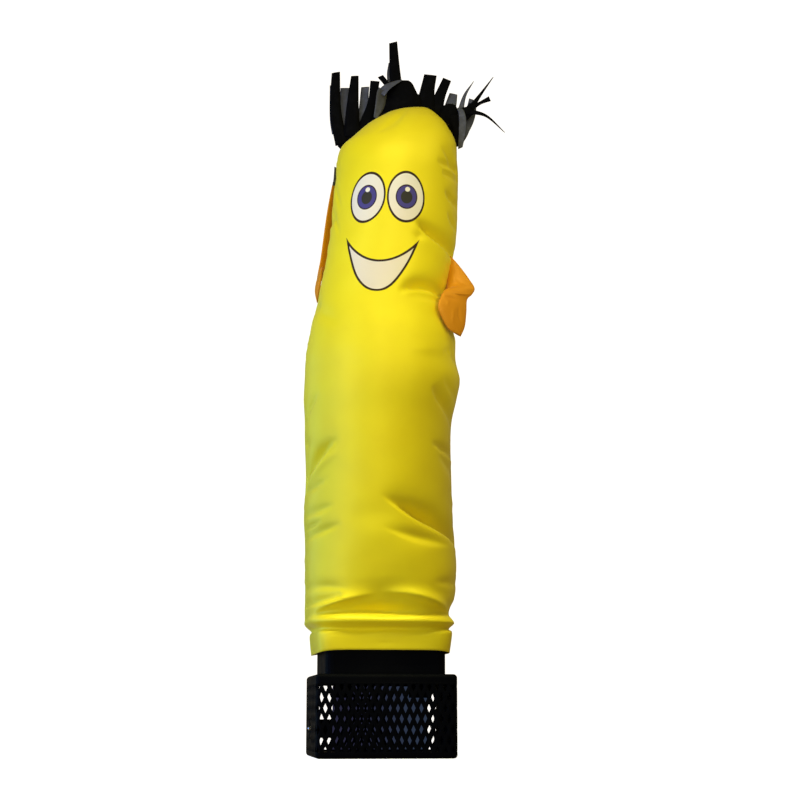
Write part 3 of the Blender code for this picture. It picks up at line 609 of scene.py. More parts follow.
# The sleeves ------------------------------------------------------------------------------------
# Rungs across each sleeve, in millimetres, and half of its thickness there.
Rung = namedtuple("Rung", "outer inner thick")
RIGHT_SLEEVE = [Rung(*row) for row in (
    ((47.4, -11.2, 339.4), (44.2, -11.8, 311.5), 0.9),
    ((53.5, -14.5, 331), (43.6, -17, 311.6), 1.9), ((59.5, -18, 321), (43, -21.4, 311.2), 1.8),
    ((62.6, -20.5, 314.2), (41.8, -25.6, 311.6), 1.4),
    ((60.6, -21.4, 309.6), (39.8, -29, 309.4), 1.1),
    ((57, -22.2, 305.5), (37.8, -31.2, 305.6), 1.7), ((56.2, -23.4, 296), (35.4, -34.4, 298), 1.9),
    ((54.8, -24.8, 286), (38.2, -33.2, 290), 1.7), ((51.8, -26.2, 279), (42.6, -31.4, 283), 0.9),
)]
LEFT_SLEEVE = [Rung(*row) for row in (
    ((-42.7, 13.8, 309), (-39.6, 13.4, 334), 0.9), ((-43.6, 16.5, 317), (-38.4, 20.5, 337), 1.7),
    ((-42.2, 18.5, 329), (-31.4, 30.5, 341), 1.8), ((-40, 20, 342), (-26.6, 35.2, 348), 1.7),
    ((-38, 20.6, 358), (-24, 37.4, 360), 1.7), ((-36, 20.6, 374), (-22, 37.8, 374), 1.6),
    ((-33.8, 21, 388), (-20.2, 37.8, 387), 1.4), ((-32.2, 21, 397), (-19, 37, 395), 0.8),
)]
SLEEVE_SIDES = 64
SLEEVE_STEPS = 12
SLEEVE_FADE = 4             # over this distance from its ends a sleeve's creases begin
SLEEVE_BULGE, CREASE_BULGE = 0.8, 0.7   # how bluntly a layer and its creases end at the edges

# Creases on the sleeves: x runs from -1 at the inner edge to 1 at the outer one, l is the distance
# from the root in millimetres, side is 1 on the front layer and -1 on the back one.
SleeveCrease = namedtuple("SleeveCrease", "x1 l1 x2 l2 x3 l3 above below depth side")
RIGHT_CREASES = [SleeveCrease(*row) for row in (
    (-1.1, 21, 0.1, 24.5, 1.1, 22.5, 1, 2.4, 0.9, 1),
    (-1.1, 27, -0.3, 29, 0.6, 31, 1.6, 1.2, -0.7, 1),
    (-0.8, 4, -0.3, 12, -0.5, 20, 1.5, 1.5, -0.5, 1),
    (0.7, 3, 0.2, 11, 0.5, 20, 1.6, 1.6, -0.45, 1),
    (-0.7, 38, -0.5, 33, -0.9, 31, 0.9, 0.9, 0.6, 1),
    (0.7, 48, 0.4, 40, 0.6, 31, 1.6, 1.6, -0.6, 1),
    (-0.2, 50, -0.1, 42, 0.1, 35, 1.4, 1.4, 0.45, 1),
    (-0.9, 24, 0, 26, 0.9, 24, 1.4, 1.4, -0.7, -1),
    (-0.6, 45, 0.1, 38, 0.5, 30, 1.6, 1.6, -0.5, -1),
)]
LEFT_CREASES = [SleeveCrease(*row) for row in (
    (-0.9, 12, 0, 16, 0.9, 13, 1.4, 1.4, -0.6, -1),
    (-0.6, 84, 0, 60, 0.3, 34, 1.8, 1.8, -0.55, -1),
    (0.6, 80, 0.5, 52, 0.1, 24, 1.8, 1.8, -0.5, -1),
    (-0.8, 30, -0.2, 34, 0.7, 31, 1.4, 2.2, 0.4, -1),
    (-0.9, 58, 0.1, 62, 0.9, 57, 1.4, 2.2, 0.4, -1),
    (-0.5, 84, 0.1, 50, 0.2, 14, 1.8, 1.8, -0.5, 1),
)]


def smooth_path(values, steps):
    """Extra values on a smooth curve through the given rows."""
    values = np.asarray(values, float)
    padded = np.concatenate([2 * values[:1] - values[1:2], values, 2 * values[-1:] - values[-2:-1]])
    out = []
    for i in range(1, len(padded) - 2):
        p0, p1, p2, p3 = padded[i - 1:i + 3]
        for step in range(steps):
            t = step / steps
            out.append(0.5 * (2 * p1 + (p2 - p0) * t + (2 * p0 - 5 * p1 + 4 * p2 - p3) * t * t
                              + (3 * p1 - p0 - 3 * p2 + p3) * t ** 3))
    return np.array(out + [values[-1]])


def sleeve_mesh(name, rungs, creases):
    """A limp sleeve: two layers lofted along its rungs, joined at both edges and at the ends."""
    outer = smooth_path([rung.outer for rung in rungs], SLEEVE_STEPS)
    inner = smooth_path([rung.inner for rung in rungs], SLEEVE_STEPS)
    thick = smooth_path([[rung.thick] for rung in rungs], SLEEVE_STEPS)
    middle, reach = (outer + inner) / 2, (outer - inner) / 2
    normal = np.cross(np.gradient(middle, axis=0), reach)
    normal /= np.linalg.norm(normal, axis=1, keepdims=True)
    along = np.concatenate([[0], np.cumsum(np.linalg.norm(np.diff(middle, axis=0), axis=1))])
    half = np.linalg.norm(reach, axis=1)
    typical = float(half.mean())
    turn = np.linspace(0, math.tau, SLEEVE_SIDES, endpoint=False)
    across, side = np.cos(turn)[None, :], np.sin(turn)[None, :]
    out = np.zeros((len(middle), SLEEVE_SIDES))
    spread, lengths = across * half[:, None], np.repeat(along[:, None], SLEEVE_SIDES, axis=1)
    for crease in creases:
        places = [(x * typical, length) for x, length in zip(crease[0:6:2], crease[1:6:2])]
        lift = np.zeros_like(out)
        add_crease(lift, spread, lengths, places, *crease[6:9])
        out += lift * (np.sign(side) == crease.side)
    fade = np.minimum(1, np.minimum(lengths, along[-1] - lengths) / SLEEVE_FADE)
    depth = np.sign(side) * (thick * np.abs(side) ** SLEEVE_BULGE
                             + out * fade * np.abs(side) ** CREASE_BULGE)
    points = (middle[:, None] + across[..., None] * reach[:, None]
              + depth[..., None] * normal[:, None])
    index = np.arange(out.size).reshape(out.shape)
    after = np.roll(index, -1, axis=1)
    faces = np.stack([index[:-1], after[:-1], after[1:], index[1:]], axis=-1)
    faces = faces.reshape(-1, 4).tolist() + [index[0].tolist(), index[-1].tolist()]
    flat = np.stack([np.repeat((turn / math.tau)[None, :], len(middle), axis=0) * 4 * typical,
                     lengths], axis=-1)
    mesh = mapped_mesh(name, points * MM, faces, {"Cloth": flat * MM})
    form = bmesh.new()
    form.from_mesh(mesh)
    bmesh.ops.recalc_face_normals(form, faces=form.faces)
    form.to_mesh(mesh)
    form.free()
    return mesh, (2 * typical * MM, float(along[-1]) * MM)


# Ribbons: the hair and the hands' fringes -------------------------------------------------------
HEAD_X = 13.0               # where the head's seam plane crosses the XZ plane
SEAM_LOW = 418.5            # height of the ends of the hair's seam
HAIR_BAND = 4.5             # uncut width of the comb along the seam
HAIR_OFF = -0.3             # from the seam to the comb's edge
BAND_FIRST, BAND_LAST, BAND_STEPS = 0.3, 107.3, 60     # the comb's ends along the seam
LAYER_GAP = 0.45            # from the seam's plane to each layer's comb
RIBBON_STEPS = 12
Ribbon = namedtuple("Ribbon", "turn tip_turn slant stations")


def ribbon_row(turn, tip_turn, slant, *stations):
    """A ribbon from one row of a table, in which each station takes four numbers."""
    return Ribbon(turn, tip_turn, slant, [stations[i:i + 4] for i in range(0, len(stations), 4)])


# A row tells how far a ribbon's face has turned at its root and at its tip in degrees, and how much
# higher the right corner of its cut end is.  Then come its stations in the plane of the head's
# seam: x and z of the middle, how far ahead of the plane it lies, and its width, in millimetres.
OUTER_HAIR = [ribbon_row(*row) for row in (
    (0, 6, 1.1, -40.5, 423.5, 0.4, 9.5,  -45.2, 447.5, 0.8, 8.3,  -45.1, 476.9, 1.6, 5.9),
    (0, -6, 0, -33.6, 429, 0.5, 12.4,  -33, 449, 1.2, 9.2,  -31.7, 474.4, -0.4, 5.5),
    (0, 8, 0.3, -24.8, 435, 0.4, 9.4,  -19.2, 453, 1, 6.2,  -16.8, 468.8, 2.2, 6.5),
    (0, 5, 1.1, -0.5, 449.5, -0.6, 10.5,  -2.7, 473, -0.2, 7.9,  -4.2, 498, 0.5, 5.8),
    (0, -5, 0, 18.5, 446.5, 0.5, 14.5,  20.3, 460.5, 1.2, 10.4,  22.5, 472.1, 0.8, 9.1),
    (0, 8, 0, 25, 443.5, 0.3, 11.5,  29.4, 456.5, 1, 7.6,  34.4, 468, 1.9, 6.1),
    # the wide hump in the middle, and the ribbon that lies over it with its reverse outwards
    (0, 0, 0, 2, 446, 0.6, 30,  2.8, 456.5, 1.6, 24.6,  4.3, 464.6, 2.4, 13.4,
     4.6, 468.6, 1.6, 5),
    (214, 236, 0, -16.6, 441.6, 2.2, 2.8,  -13.2, 450, 3.6, 7.6,  -11.6, 457.6, 5, 9.4,
     -10.4, 460.4, 5.4, 9.4),
    (150, 150, 0, -12.2, 458, 5.6, 9.4,  -8, 462.4, 5.6, 7.6,  -2.2, 466.2, 4.2, 4.4,
     2.6, 468.4, 3, 0.9),
    (0, -14, -1.2, -3.5, 456, 0.2, 4.4,  -8.6, 466.6, 0.8, 3.8,  -13.2, 472.8, 1.2, 4),
    # the smaller hump on the right, with its reverse beside it
    (0, 0, 0, 34.5, 433, 0.8, 13,  35.6, 442, 1.9, 13,  36.2, 447.4, 2.2, 9.6,
     36.4, 449.8, 1.6, 4),
    (0, 0, 0, 41, 421, 1.2, 2,  40.6, 431, 2.4, 5,  39.6, 441, 2.6, 6.6),
    (166, 196, -1.6, 41.6, 446.4, 1.6, 2,  44.2, 443.4, 3.2, 3.8,  45.3, 437.5, 4, 4.9,
     45.1, 429, 3.6, 5,  43.4, 416.8, 2.2, 3.2),
    # the split end that stands out to the right
    (0, 20, 0, 43, 444.6, 2.2, 2.4,  48.4, 443.4, 2.8, 6,  53, 441.4, 3, 2.6),
    (0, 10, 0, 46.8, 437.4, 1.8, 3,  49, 442.4, 2.4, 6.4,  52.2, 448.4, 2.8, 4.6),
    (0, -20, 0, 49.6, 443.6, 2.2, 5.4,  57.2, 454.2, 3, 2.5,  67.1, 467.4, 3.6, 0.35),
    (0, 16, 0, 50.6, 444.6, 2.8, 4,  57.2, 448.4, 3.6, 2.3,  64.6, 451.3, 4.4, 3.7),
    (0, -12, 0, 50.4, 443.2, 3, 3.6,  62.2, 438.6, 4, 1.9,  74.7, 426, 5, 0.35),
)]
INNER_HAIR = [ribbon_row(*row) for row in (
    (0, 30, -1, -46, 432, -0.8, 4,  -48.2, 444, -1.4, 3,  -49.4, 468.6, -2.4, 1.4),
    (0, 8, 0.2, -39.6, 427, -0.5, 7,  -39.4, 447, -1.4, 7,  -39.2, 466.6, -2.6, 6.2),
    (0, -8, 0.1, -27.2, 434, -0.5, 7,  -25.6, 450, -1.4, 6.4,  -24.5, 466.5, -2.2, 5.9),
    (0, 12, 0.4, -15, 443.5, -0.6, 6,  -13.6, 454, -1.5, 6,  -11.4, 464, -2.6, 5),
    (0, 52, 0.6, -6.8, 466, -1, 2.6,  -7.8, 475, -1.4, 2.2,  -7, 483.4, -1.2, 1.3),
    (0, 0, 0, 0.5, 448, -0.6, 9,  1, 457, -1.4, 8,  1.4, 465, -2.4, 7),
    (0, 6, 0, 11, 447.5, -0.6, 8,  11.6, 454, -1.6, 7,  12.2, 459.6, -2.8, 6),
    (0, 8, 0, 22, 445, -0.6, 8,  24, 451, -1.8, 7,  25.4, 456.4, -3, 5.6),
    (0, -8, -0.8, 33.4, 437, -0.6, 9,  36.2, 448.5, -1.8, 8.4,  38.4, 458.8, -3, 5.9),
    (0, 16, 0, 42.6, 440.5, -0.8, 5,  46.3, 456, -1.4, 2.4,  52.9, 466.7, -0.8, 0.35),
    (0, 14, -0.8, 45, 424.5, -0.6, 3.2,  49.4, 439, -2, 7.2,  52.2, 453.8, -3.4, 5.9),
    (0, 20, -0.6, 42.6, 420, -0.4, 3,  45.8, 427, -1.8, 4,  48.4, 431.6, -3, 2.6),
)]


def head_seam():
    """The head's arched seam from left to right, as points of its own plane in millimetres."""
    arch = [row for row in SECTIONS[:-1] if row.z > SEAM_LOW]
    left = [Vector((row.left - HEAD_X, row.z)) for row in arch]
    right = [Vector((row.right - HEAD_X, row.z)) for row in arch]
    return left + right[::-1]


def along_seam(seam, distance, stand_off):
    """The point at a distance along the seam, moved off it outwards."""
    for start, end in zip(seam, seam[1:]):
        run = end - start
        if distance <= run.length or end is seam[-1]:
            outwards = Vector((-run.y, run.x)).normalized()
            return start + run * (distance / run.length) + outwards * stand_off
        distance -= run.length


def seam_place(x, z, ahead):
    """A place given in the plane of the head's seam, and ahead of it, as a point in metres."""
    turn = math.radians(FACE_TURN)
    return Vector((HEAD_X + x * math.cos(turn) + ahead * math.sin(turn),
                   x * math.sin(turn) - ahead * math.cos(turn), z)) * MM


def add_sheet(form, lefts, rights, camber, columns=4):
    """Adds a ribbon between two edges, bowed across its width, to a bmesh."""
    rows = []
    for index, (left, right) in enumerate(zip(lefts, rights)):
        before, after = max(index - 1, 0), min(index + 1, len(lefts) - 1)
        ahead = lefts[after] + rights[after] - lefts[before] - rights[before]
        normal = (right - left).cross(ahead).normalized()
        row = []
        for column in range(columns + 1):
            t = column / columns
            bow = camber * (1 - (2 * t - 1) ** 2) * (right - left).length
            row.append(form.verts.new(left.lerp(right, t) + normal * bow))
        rows.append(row)
    for low, high in zip(rows, rows[1:]):
        for column in range(columns):
            face = form.faces.new((low[column], low[column + 1], high[column + 1], high[column]))
            face.smooth = True


def add_ribbon(form, ribbon, rng):
    """Adds one ribbon of hair."""
    path = smooth_path(ribbon.stations, RIBBON_STEPS)
    wave, phase, last = rng.uniform(0.15, 0.4), rng.uniform(0, math.tau), len(path) - 1
    shares = [index / last for index in range(len(path))]
    centres = [seam_place(x, z, out + wave * math.sin(phase + t * 5) * t)
               for t, (x, z, out, _) in zip(shares, path)]
    face = seam_place(0, 0, 1) - seam_place(0, 0, 0)
    lefts, rights = [], []
    for index, (t, centre, (*_, wide)) in enumerate(zip(shares, centres, path)):
        axis = (centres[min(index + 1, last)] - centres[max(index - 1, 0)]).normalized()
        tilt = math.radians(ribbon.turn + (ribbon.tip_turn - ribbon.turn) * t)
        aside = axis.cross(face).normalized()
        aside = (aside * math.cos(tilt) + axis.cross(aside) * math.sin(tilt)) * wide * MM / 2
        # the end is cut at a slant, which its last sixth takes up
        cut = axis * ribbon.slant / 2 * MM * max(0.0, t * 6 - 5)
        lefts.append(centre - aside - cut)
        rights.append(centre + aside + cut)
    add_sheet(form, lefts, rights, rng.uniform(0.0, 0.05))


def add_band(form, layer):
    """Adds the comb's uncut band along the seam."""
    seam = head_seam()
    edges = [], []
    for step in range(BAND_STEPS + 1):
        distance = BAND_FIRST + (BAND_LAST - BAND_FIRST) * step / BAND_STEPS
        for edge, stand_off in zip(edges, (HAIR_BAND, HAIR_OFF)):
            edge.append(seam_place(*along_seam(seam, distance, stand_off), layer * LAYER_GAP))
    add_sheet(form, *edges, 0.0, columns=2)


def ribbon_piece(name, node, form, finishes, settings):
    """Makes a piece of cut ribbon from its form.  Its second finish is the ribbon's other side."""
    piece = link_mesh(name, mesh_from_form(name, form, outwards=False), finishes)
    thicken(piece, settings.ribbon_thickness, offset=0.0, reverse=1)
    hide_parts(node)
    return piece


def build_hair_layer(name, node, ribbons, layer, finishes, settings, seed):
    """One layer of the hair: its band along the seam and its ribbons."""
    rng = random.Random(seed)
    form = bmesh.new()
    add_band(form, layer)
    for ribbon in ribbons:
        add_ribbon(form, ribbon, rng)
    return ribbon_piece(name, node, form, finishes, settings)


# Each hand: the two ends of the fringe's root on the sleeve, the fingers' reach, their number, and
# how far they spread, all in millimetres.
Hand = namedtuple("Hand", "start end reach fingers spread")
LEFT_HAND = Hand((-32.0, 21.2, 396.6), (-19.2, 37.0, 394.8), (1.6, -1.6, 14.5), 5, 2.5)
RIGHT_HAND = Hand((51.8, -25.6, 280.2), (44.4, -29.8, 283.0), (4.4, 4.2, 8.6), 4, 1.0)
FINGER_STEPS = 12
FINGER_ROOT = 0.2           # share of a finger's length that is uncut


def build_hand(name, node, hand, finishes, settings, seed):
    """The short fringe at a sleeve's end: a narrow band with cut fingers."""
    rng = random.Random(seed)
    start, end, reach = (Vector(value) * MM for value in (hand.start, hand.end, hand.reach))
    across = (end - start) / hand.fingers
    aside, normal = across.normalized(), across.cross(reach).normalized()
    form = bmesh.new()
    for finger in range(hand.fingers):
        root = start + across * (finger + 0.5)
        fan = (finger + 0.5) / hand.fingers * 2 - 1
        length = rng.uniform(0.86, 1.05)
        curl = rng.uniform(0.4, 1.4) * MM
        lefts, rights = [], []
        for step in range(FINGER_STEPS + 1):
            t = step / FINGER_STEPS
            wide = across.length * (1.0 if t < FINGER_ROOT else 0.8 - 0.15 * t)
            middle = root + reach * (t * length) + aside * fan * hand.spread * MM * t * t
            middle += normal * curl * t * t
            lefts.append(middle - aside * wide / 2)
            rights.append(middle + aside * wide / 2)
        add_sheet(form, lefts, rights, rng.uniform(-0.05, 0.08), columns=3)
    return ribbon_piece(name, node, form, finishes, settings)


# The base, in millimetres ------------------------------------------------------------------------
HALF = 45.5                 # half of the base's width
CORNER = 3.2                # radius of its upright corners
STRAIGHT = HALF - CORNER    # half of a wall's flat part
SIDE = 2 * STRAIGHT + math.pi / 2 * CORNER      # a quarter of the way round the base
FLOOR_TOP = 3.2
WALL_LOW, WALL_HIGH = 3.22, 47.78
HOLES_LOW, HOLES_HIGH = 4.1, 46.9
HOLE_HALF_WIDE, HOLE_HALF_HIGH = 1.5, 3.4
HOLE_X, HOLE_Z = -44.4, 31.7    # one hole's middle on the front wall
HOLE_ROWS, HOLE_COLUMNS = range(-6, 8), range(-30, 31)      # counted from that hole
CUT_ROW = 0.7               # how far past those limits a row's middle may lie, in half heights
LAST_HOLE = 44.6            # the furthest middle of a hole from a wall's own middle
# Front, right, back and left wall: how far its holes are shifted, and how many times as large.
WALLS = ((0.0, 1.0), (1.2, 1.0), (0.57, 1.34), (0.7, 1.0))
INLET_WALL = 3
# The inlet's window: across from its wall's own middle, its height, and half of its width.
WINDOW_X, WINDOW_Z, WINDOW_HALF = -5.0, 18.5, 6.6
WINDOW_BESIDE, WINDOW_OVER = 0.6, 0.4   # how far a hole's tips stay away from the window
WALL_BEVEL, BEVEL_ANGLE = 0.12, 50      # width of the worn edges, and the least angle of one
SHARP, INLET_SHARP = 32, 35             # angles past which an edge is sharp, in degrees
PIN_OUT = 1.5               # how far the inlet's pin stands out of the wall
BORE, PIN, BORE_DEPTH = 3.2, 1.05, 10   # radii of the inlet's bore and its pin
INLET_SIDES = 32
PLATE_STEPS = 8             # points round each of a plate's corners
EDGE = 2.4                  # radius of the lid's upper and the floor's lower edge
EDGE_STEPS = 6
LID_UNDER, LID_TOP = 47.8, 53.2
RECESS, RECESS_CORNER, RECESS_FLOOR = 40.6, 5.0, 51.0   # the recess's half width, corners and floor
DUCT = 35.0                 # radius of the duct through the lid
RIM = 0.2                   # width of the slanting rim round the recess
LUGS = ((-21, 36, 13), (32, 36, 15))            # middle and width of each lug under the lid
LUG_DEPTH, LUG_DROP = 5.0, 9.0


def clipped_diamond(x, z, grow):
    """A diamond hole's corners, cut off where it would pass the holes' limits."""
    corners = []
    for dx, dz in ((-1, 0), (0, -1), (1, 0), (0, 1)):
        corners.append((x + dx * HOLE_HALF_WIDE * grow, z + dz * HOLE_HALF_HIGH * grow))
    for limit, sign in ((HOLES_LOW, 1), (HOLES_HIGH, -1)):
        kept = []
        for (x0, z0), (x1, z1) in zip(corners, corners[1:] + corners[:1]):
            inside0, inside1 = (z0 - limit) * sign > 0, (z1 - limit) * sign > 0
            if inside0:
                kept.append((x0, z0))
            if inside0 != inside1:
                t = (limit - z0) / (z1 - z0)
                kept.append((x0 + (x1 - x0) * t, limit))
        corners = kept
    return corners


def wall_holes(settings, shift, grow, window):
    """The diamond holes of one wall, as lists of corners.  window tells if it has the inlet's."""
    holes = []
    pitch, rise = settings.hole_pitch / MM, settings.hole_rise / MM
    past = HOLE_HALF_HIGH * CUT_ROW
    for row in HOLE_ROWS:
        z = HOLE_Z + row * rise
        if not HOLES_LOW - past < z < HOLES_HIGH + past:
            continue
        for column in HOLE_COLUMNS:
            x = HOLE_X + shift + (column + row % 2 / 2) * pitch
            if abs(x) > LAST_HOLE:
                continue
            if (window and abs(x - WINDOW_X) < WINDOW_HALF + HOLE_HALF_WIDE + WINDOW_BESIDE
                    and abs(z - WINDOW_Z) < WINDOW_HALF + HOLE_HALF_HIGH + WINDOW_OVER):
                continue
            corners = clipped_diamond(x, z, grow)
            if len(corners) > 2:
                holes.append(corners)
    return holes


def wall_sheet(settings):
    """All four walls as one flat sheet with its holes, before it is bent round the corners."""
    loops = [[(0, WALL_LOW), (4 * SIDE, WALL_LOW), (4 * SIDE, WALL_HIGH), (0, WALL_HIGH)]]
    # each wall's own x runs from left to right, seen from outside
    for index, (shift, grow) in enumerate(WALLS):
        middle, window = SIDE * (index + 0.5), index == INLET_WALL
        for hole in wall_holes(settings, shift, grow, window):
            loops.append([(middle + x, z) for x, z in hole])
        if window:
            x, z, half = middle + WINDOW_X, WINDOW_Z, WINDOW_HALF
            loops.append([(x - half, z - half), (x + half, z - half), (x + half, z + half),
                          (x - half, z + half)])
    corners = [Vector(corner) * MM for loop in loops for corner in loop]
    areas, first = [], 0
    for loop in loops:
        # the filler wants every loop the same way round
        turned = sum(x0 * z1 - x1 * z0
                     for (x0, z0), (x1, z1) in zip(loop, loop[1:] + loop[:1])) < 0
        area = list(range(first, first + len(loop)))
        areas.append(area[::-1] if turned else area)
        first += len(loop)
    filled = geometry.delaunay_2d_cdt(corners, [], areas, 0, 1e-9, True)
    # the first loop is the outline, so a face that comes from any other one lies in a hole
    faces = [face for face, source in zip(filled[2], filled[5]) if source == [0]]
    mesh = bpy.data.meshes.new("walls")
    mesh.from_pydata([(place.x, place.y, 0) for place in filled[0]], [], faces)
    return mesh


def wrap_place(t):
    """Where a place along the flat sheet comes to lie: x and y in millimetres, round the base."""
    wall, along = divmod(t, SIDE)
    along -= SIDE / 2
    if abs(along) <= STRAIGHT:
        x, y = along, -HALF
    else:
        turn = (abs(along) - STRAIGHT) / CORNER
        x = math.copysign(STRAIGHT + CORNER * math.sin(turn), along)
        y = -STRAIGHT - CORNER * math.cos(turn)
    for _ in range(int(wall) % 4):
        x, y = -y, x
    return x, y


def build_walls(settings, finish):
    """The four pierced walls and their round corners, as one moulding."""
    mesh = wall_sheet(settings)
    form = bmesh.new()
    form.from_mesh(mesh)
    bmesh.ops.remove_doubles(form, verts=form.verts, dist=1e-7)
    for wall in range(4):
        for sign in (-1, 1):
            for step in range(4):
                t = SIDE * (wall + 0.5) + sign * (STRAIGHT + CORNER * math.pi / 4 * step / 3)
                everything = form.verts[:] + form.edges[:] + form.faces[:]
                bmesh.ops.bisect_plane(form, geom=everything, dist=1e-8,
                                       plane_co=(t * MM, 0, 0), plane_no=(1, 0, 0))
    for vert in form.verts:
        x, y = wrap_place(min(max(vert.co.x / MM, 1e-6), 4 * SIDE - 1e-6))
        vert.co = Vector((x * MM, y * MM, vert.co.y))
    bmesh.ops.remove_doubles(form, verts=form.verts, dist=2e-6)
    bmesh.ops.recalc_face_normals(form, faces=form.faces)
    if sum(face.normal.dot(face.calc_center_median() * Vector((1, 1, 0)))
           * face.calc_area() for face in form.faces) < 0:
        bmesh.ops.reverse_faces(form, faces=form.faces)
    form.to_mesh(mesh)
    form.free()
    piece = link_mesh("pierced_walls", mesh, [finish])
    thicken(piece, settings.wall_thickness)
    soften = piece.modifiers.new("edges", "BEVEL")
    soften.width = WALL_BEVEL * MM
    soften.segments = 1
    soften.limit_method = "ANGLE"
    soften.angle_limit = math.radians(BEVEL_ANGLE)
    smooth_but_sharp(mesh, SHARP)
    nodes = [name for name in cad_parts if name.startswith(("grille_", "base_post_"))]
    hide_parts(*nodes)


def plate_loop(form, half, z, corner):
    """A loop of a plate's surface: a square with round corners, or a circle if corner is half."""
    circle = corner == half
    steps = PLATE_STEPS if circle else PLATE_STEPS - 1
    middle, radius = (half - corner) * MM, corner * MM
    made = []
    for quarter, (sign_x, sign_y) in enumerate(((1, 1), (-1, 1), (-1, -1), (1, -1))):
        for step in range(PLATE_STEPS):
            turn = math.radians(90 * (quarter + (step + 0.5 * circle) / steps))
            made.append(form.verts.new((middle * sign_x + radius * math.cos(turn),
                                        middle * sign_y + radius * math.sin(turn), z * MM)))
    return made


def skin_loops(form, loops, finish=0):
    """Faces between each loop and the next, in one of the piece's finishes."""
    for low, high in zip(loops, loops[1:]):
        for index in range(len(low)):
            after = (index + 1) % len(low)
            face = form.faces.new((low[index], low[after], high[after], high[index]))
            face.material_index = finish


def rounded_edge(half, z, side):
    """A plate's outlines over its round edge.  side is 1 at the plate's top and -1 below it."""
    turns = [math.pi / 2 * step / EDGE_STEPS for step in range(EDGE_STEPS + 1)]
    return [(half - EDGE * (1 - math.cos(a)), z + side * EDGE * (math.sin(a) - 1),
             CORNER - EDGE * (1 - math.cos(a)) * 0.6) for a in turns]


def build_floor(finish):
    """The base's bottom plate with its round lower edge."""
    form = bmesh.new()
    outline = [(HALF - EDGE - 0.4, 0.0, 2.0)] + rounded_edge(HALF, 0.0, -1)[::-1]
    outline += [(HALF, EDGE + 0.2, CORNER), (HALF, FLOOR_TOP, CORNER),
                (HALF - 0.3, FLOOR_TOP, CORNER)]
    loops = [plate_loop(form, *sizes) for sizes in outline]
    skin_loops(form, loops)
    form.faces.new(loops[0])
    form.faces.new(loops[-1])
    moulded_piece("floor_plate", form, [finish], SHARP, "base_floor")


def build_lid(finish):
    """The base's top plate: a round upper edge, a recess for the collar, the duct and two lugs."""
    form = bmesh.new()
    outline = [(HALF, LID_UNDER, CORNER), (HALF, LID_TOP - EDGE - 0.3, CORNER)]
    outline += rounded_edge(HALF, LID_TOP, 1)
    outline += [(HALF - EDGE - 0.3, LID_TOP, 2.2), (RECESS + RIM, LID_TOP, RECESS_CORNER + RIM),
                (RECESS, LID_TOP - RIM, RECESS_CORNER), (RECESS, RECESS_FLOOR, RECESS_CORNER),
                (DUCT, RECESS_FLOOR, DUCT), (DUCT, LID_UNDER, DUCT)]
    loops = [plate_loop(form, *sizes) for sizes in outline]
    skin_loops(form, loops + loops[:1])
    for x, y, width in LUGS:
        low = Vector((x - width / 2, y - LUG_DEPTH / 2, LID_UNDER - LUG_DROP)) * MM
        high = Vector((x + width / 2, y + LUG_DEPTH / 2, LID_UNDER + 0.5)) * MM
        for vert in bmesh.ops.create_cube(form, size=1.0)["verts"]:
            vert.co = Vector((low[i] if vert.co[i] < 0 else high[i]) for i in range(3))
    moulded_piece("lid_plate", form, [finish], SHARP, "base_lid")


def moulded_piece(name, form, finishes, degrees, node):
    """Makes one of the base's mouldings from its form, in place of its node."""
    mesh = mesh_from_form(name, form)
    piece = link_mesh(name, mesh, finishes)
    smooth_but_sharp(mesh, degrees)
    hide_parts(node)


def build_inlet(moulding, plated):
    """The power inlet: a moulded block with a round bore, and a plated sleeve and pin in it."""
    low, high = (Vector(corner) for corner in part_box("power_socket"))
    middle, half = (low + high) / 2, (high.y - low.y) / 2
    form = bmesh.new()

    def loop(x, radius, squared=False):
        """A loop round the bore's axis: a circle, or a square that is as wide."""
        made = []
        for side in range(INLET_SIDES):
            turn = math.tau * side / INLET_SIDES
            across, up = math.cos(turn), math.sin(turn)
            reach = radius / max(abs(across), abs(up)) if squared else radius
            made.append(form.verts.new((x, middle.y + reach * across, middle.z + reach * up)))
        return made

    bore, pin = BORE * MM, PIN * MM
    face, floor, end = low.x, low.x + BORE_DEPTH * MM, -(HALF + PIN_OUT) * MM
    block = [loop(high.x, half, True), loop(face + 0.3 * MM, half, True),
             loop(face, half * 0.96, True), loop(face, bore + 0.5 * MM),
             loop(face + 0.5 * MM, bore), loop(face + 1.2 * MM, bore)]
    sleeve = [block[-1], loop(floor, bore - 0.3 * MM)]
    tip = [loop(floor, pin), loop(end + 0.5 * MM, pin), loop(end, pin * 0.6)]
    skin_loops(form, block)
    skin_loops(form, sleeve, 1)
    form.faces.new(block[0])
    skin_loops(form, [sleeve[-1], tip[0]])
    skin_loops(form, tip, 1)
    form.faces.new(tip[-1]).material_index = 1
    moulded_piece("power_inlet", form, [moulding, plated], INLET_SHARP, "power_socket")


# Settings ----------------------------------------------------------------------------------------

def colour_setting(name, description, value):
    """A colour that a user may change."""
    return bpy.props.FloatVectorProperty(name=name, description=description, subtype="COLOR",
                                         size=3, min=0.0, max=1.0, default=value)


def length_setting(name, description, value):
    """A length that a user may change."""
    return bpy.props.FloatProperty(name=name, description=description, unit="LENGTH",
                                   subtype="DISTANCE", min=0.0, default=value, precision=4)


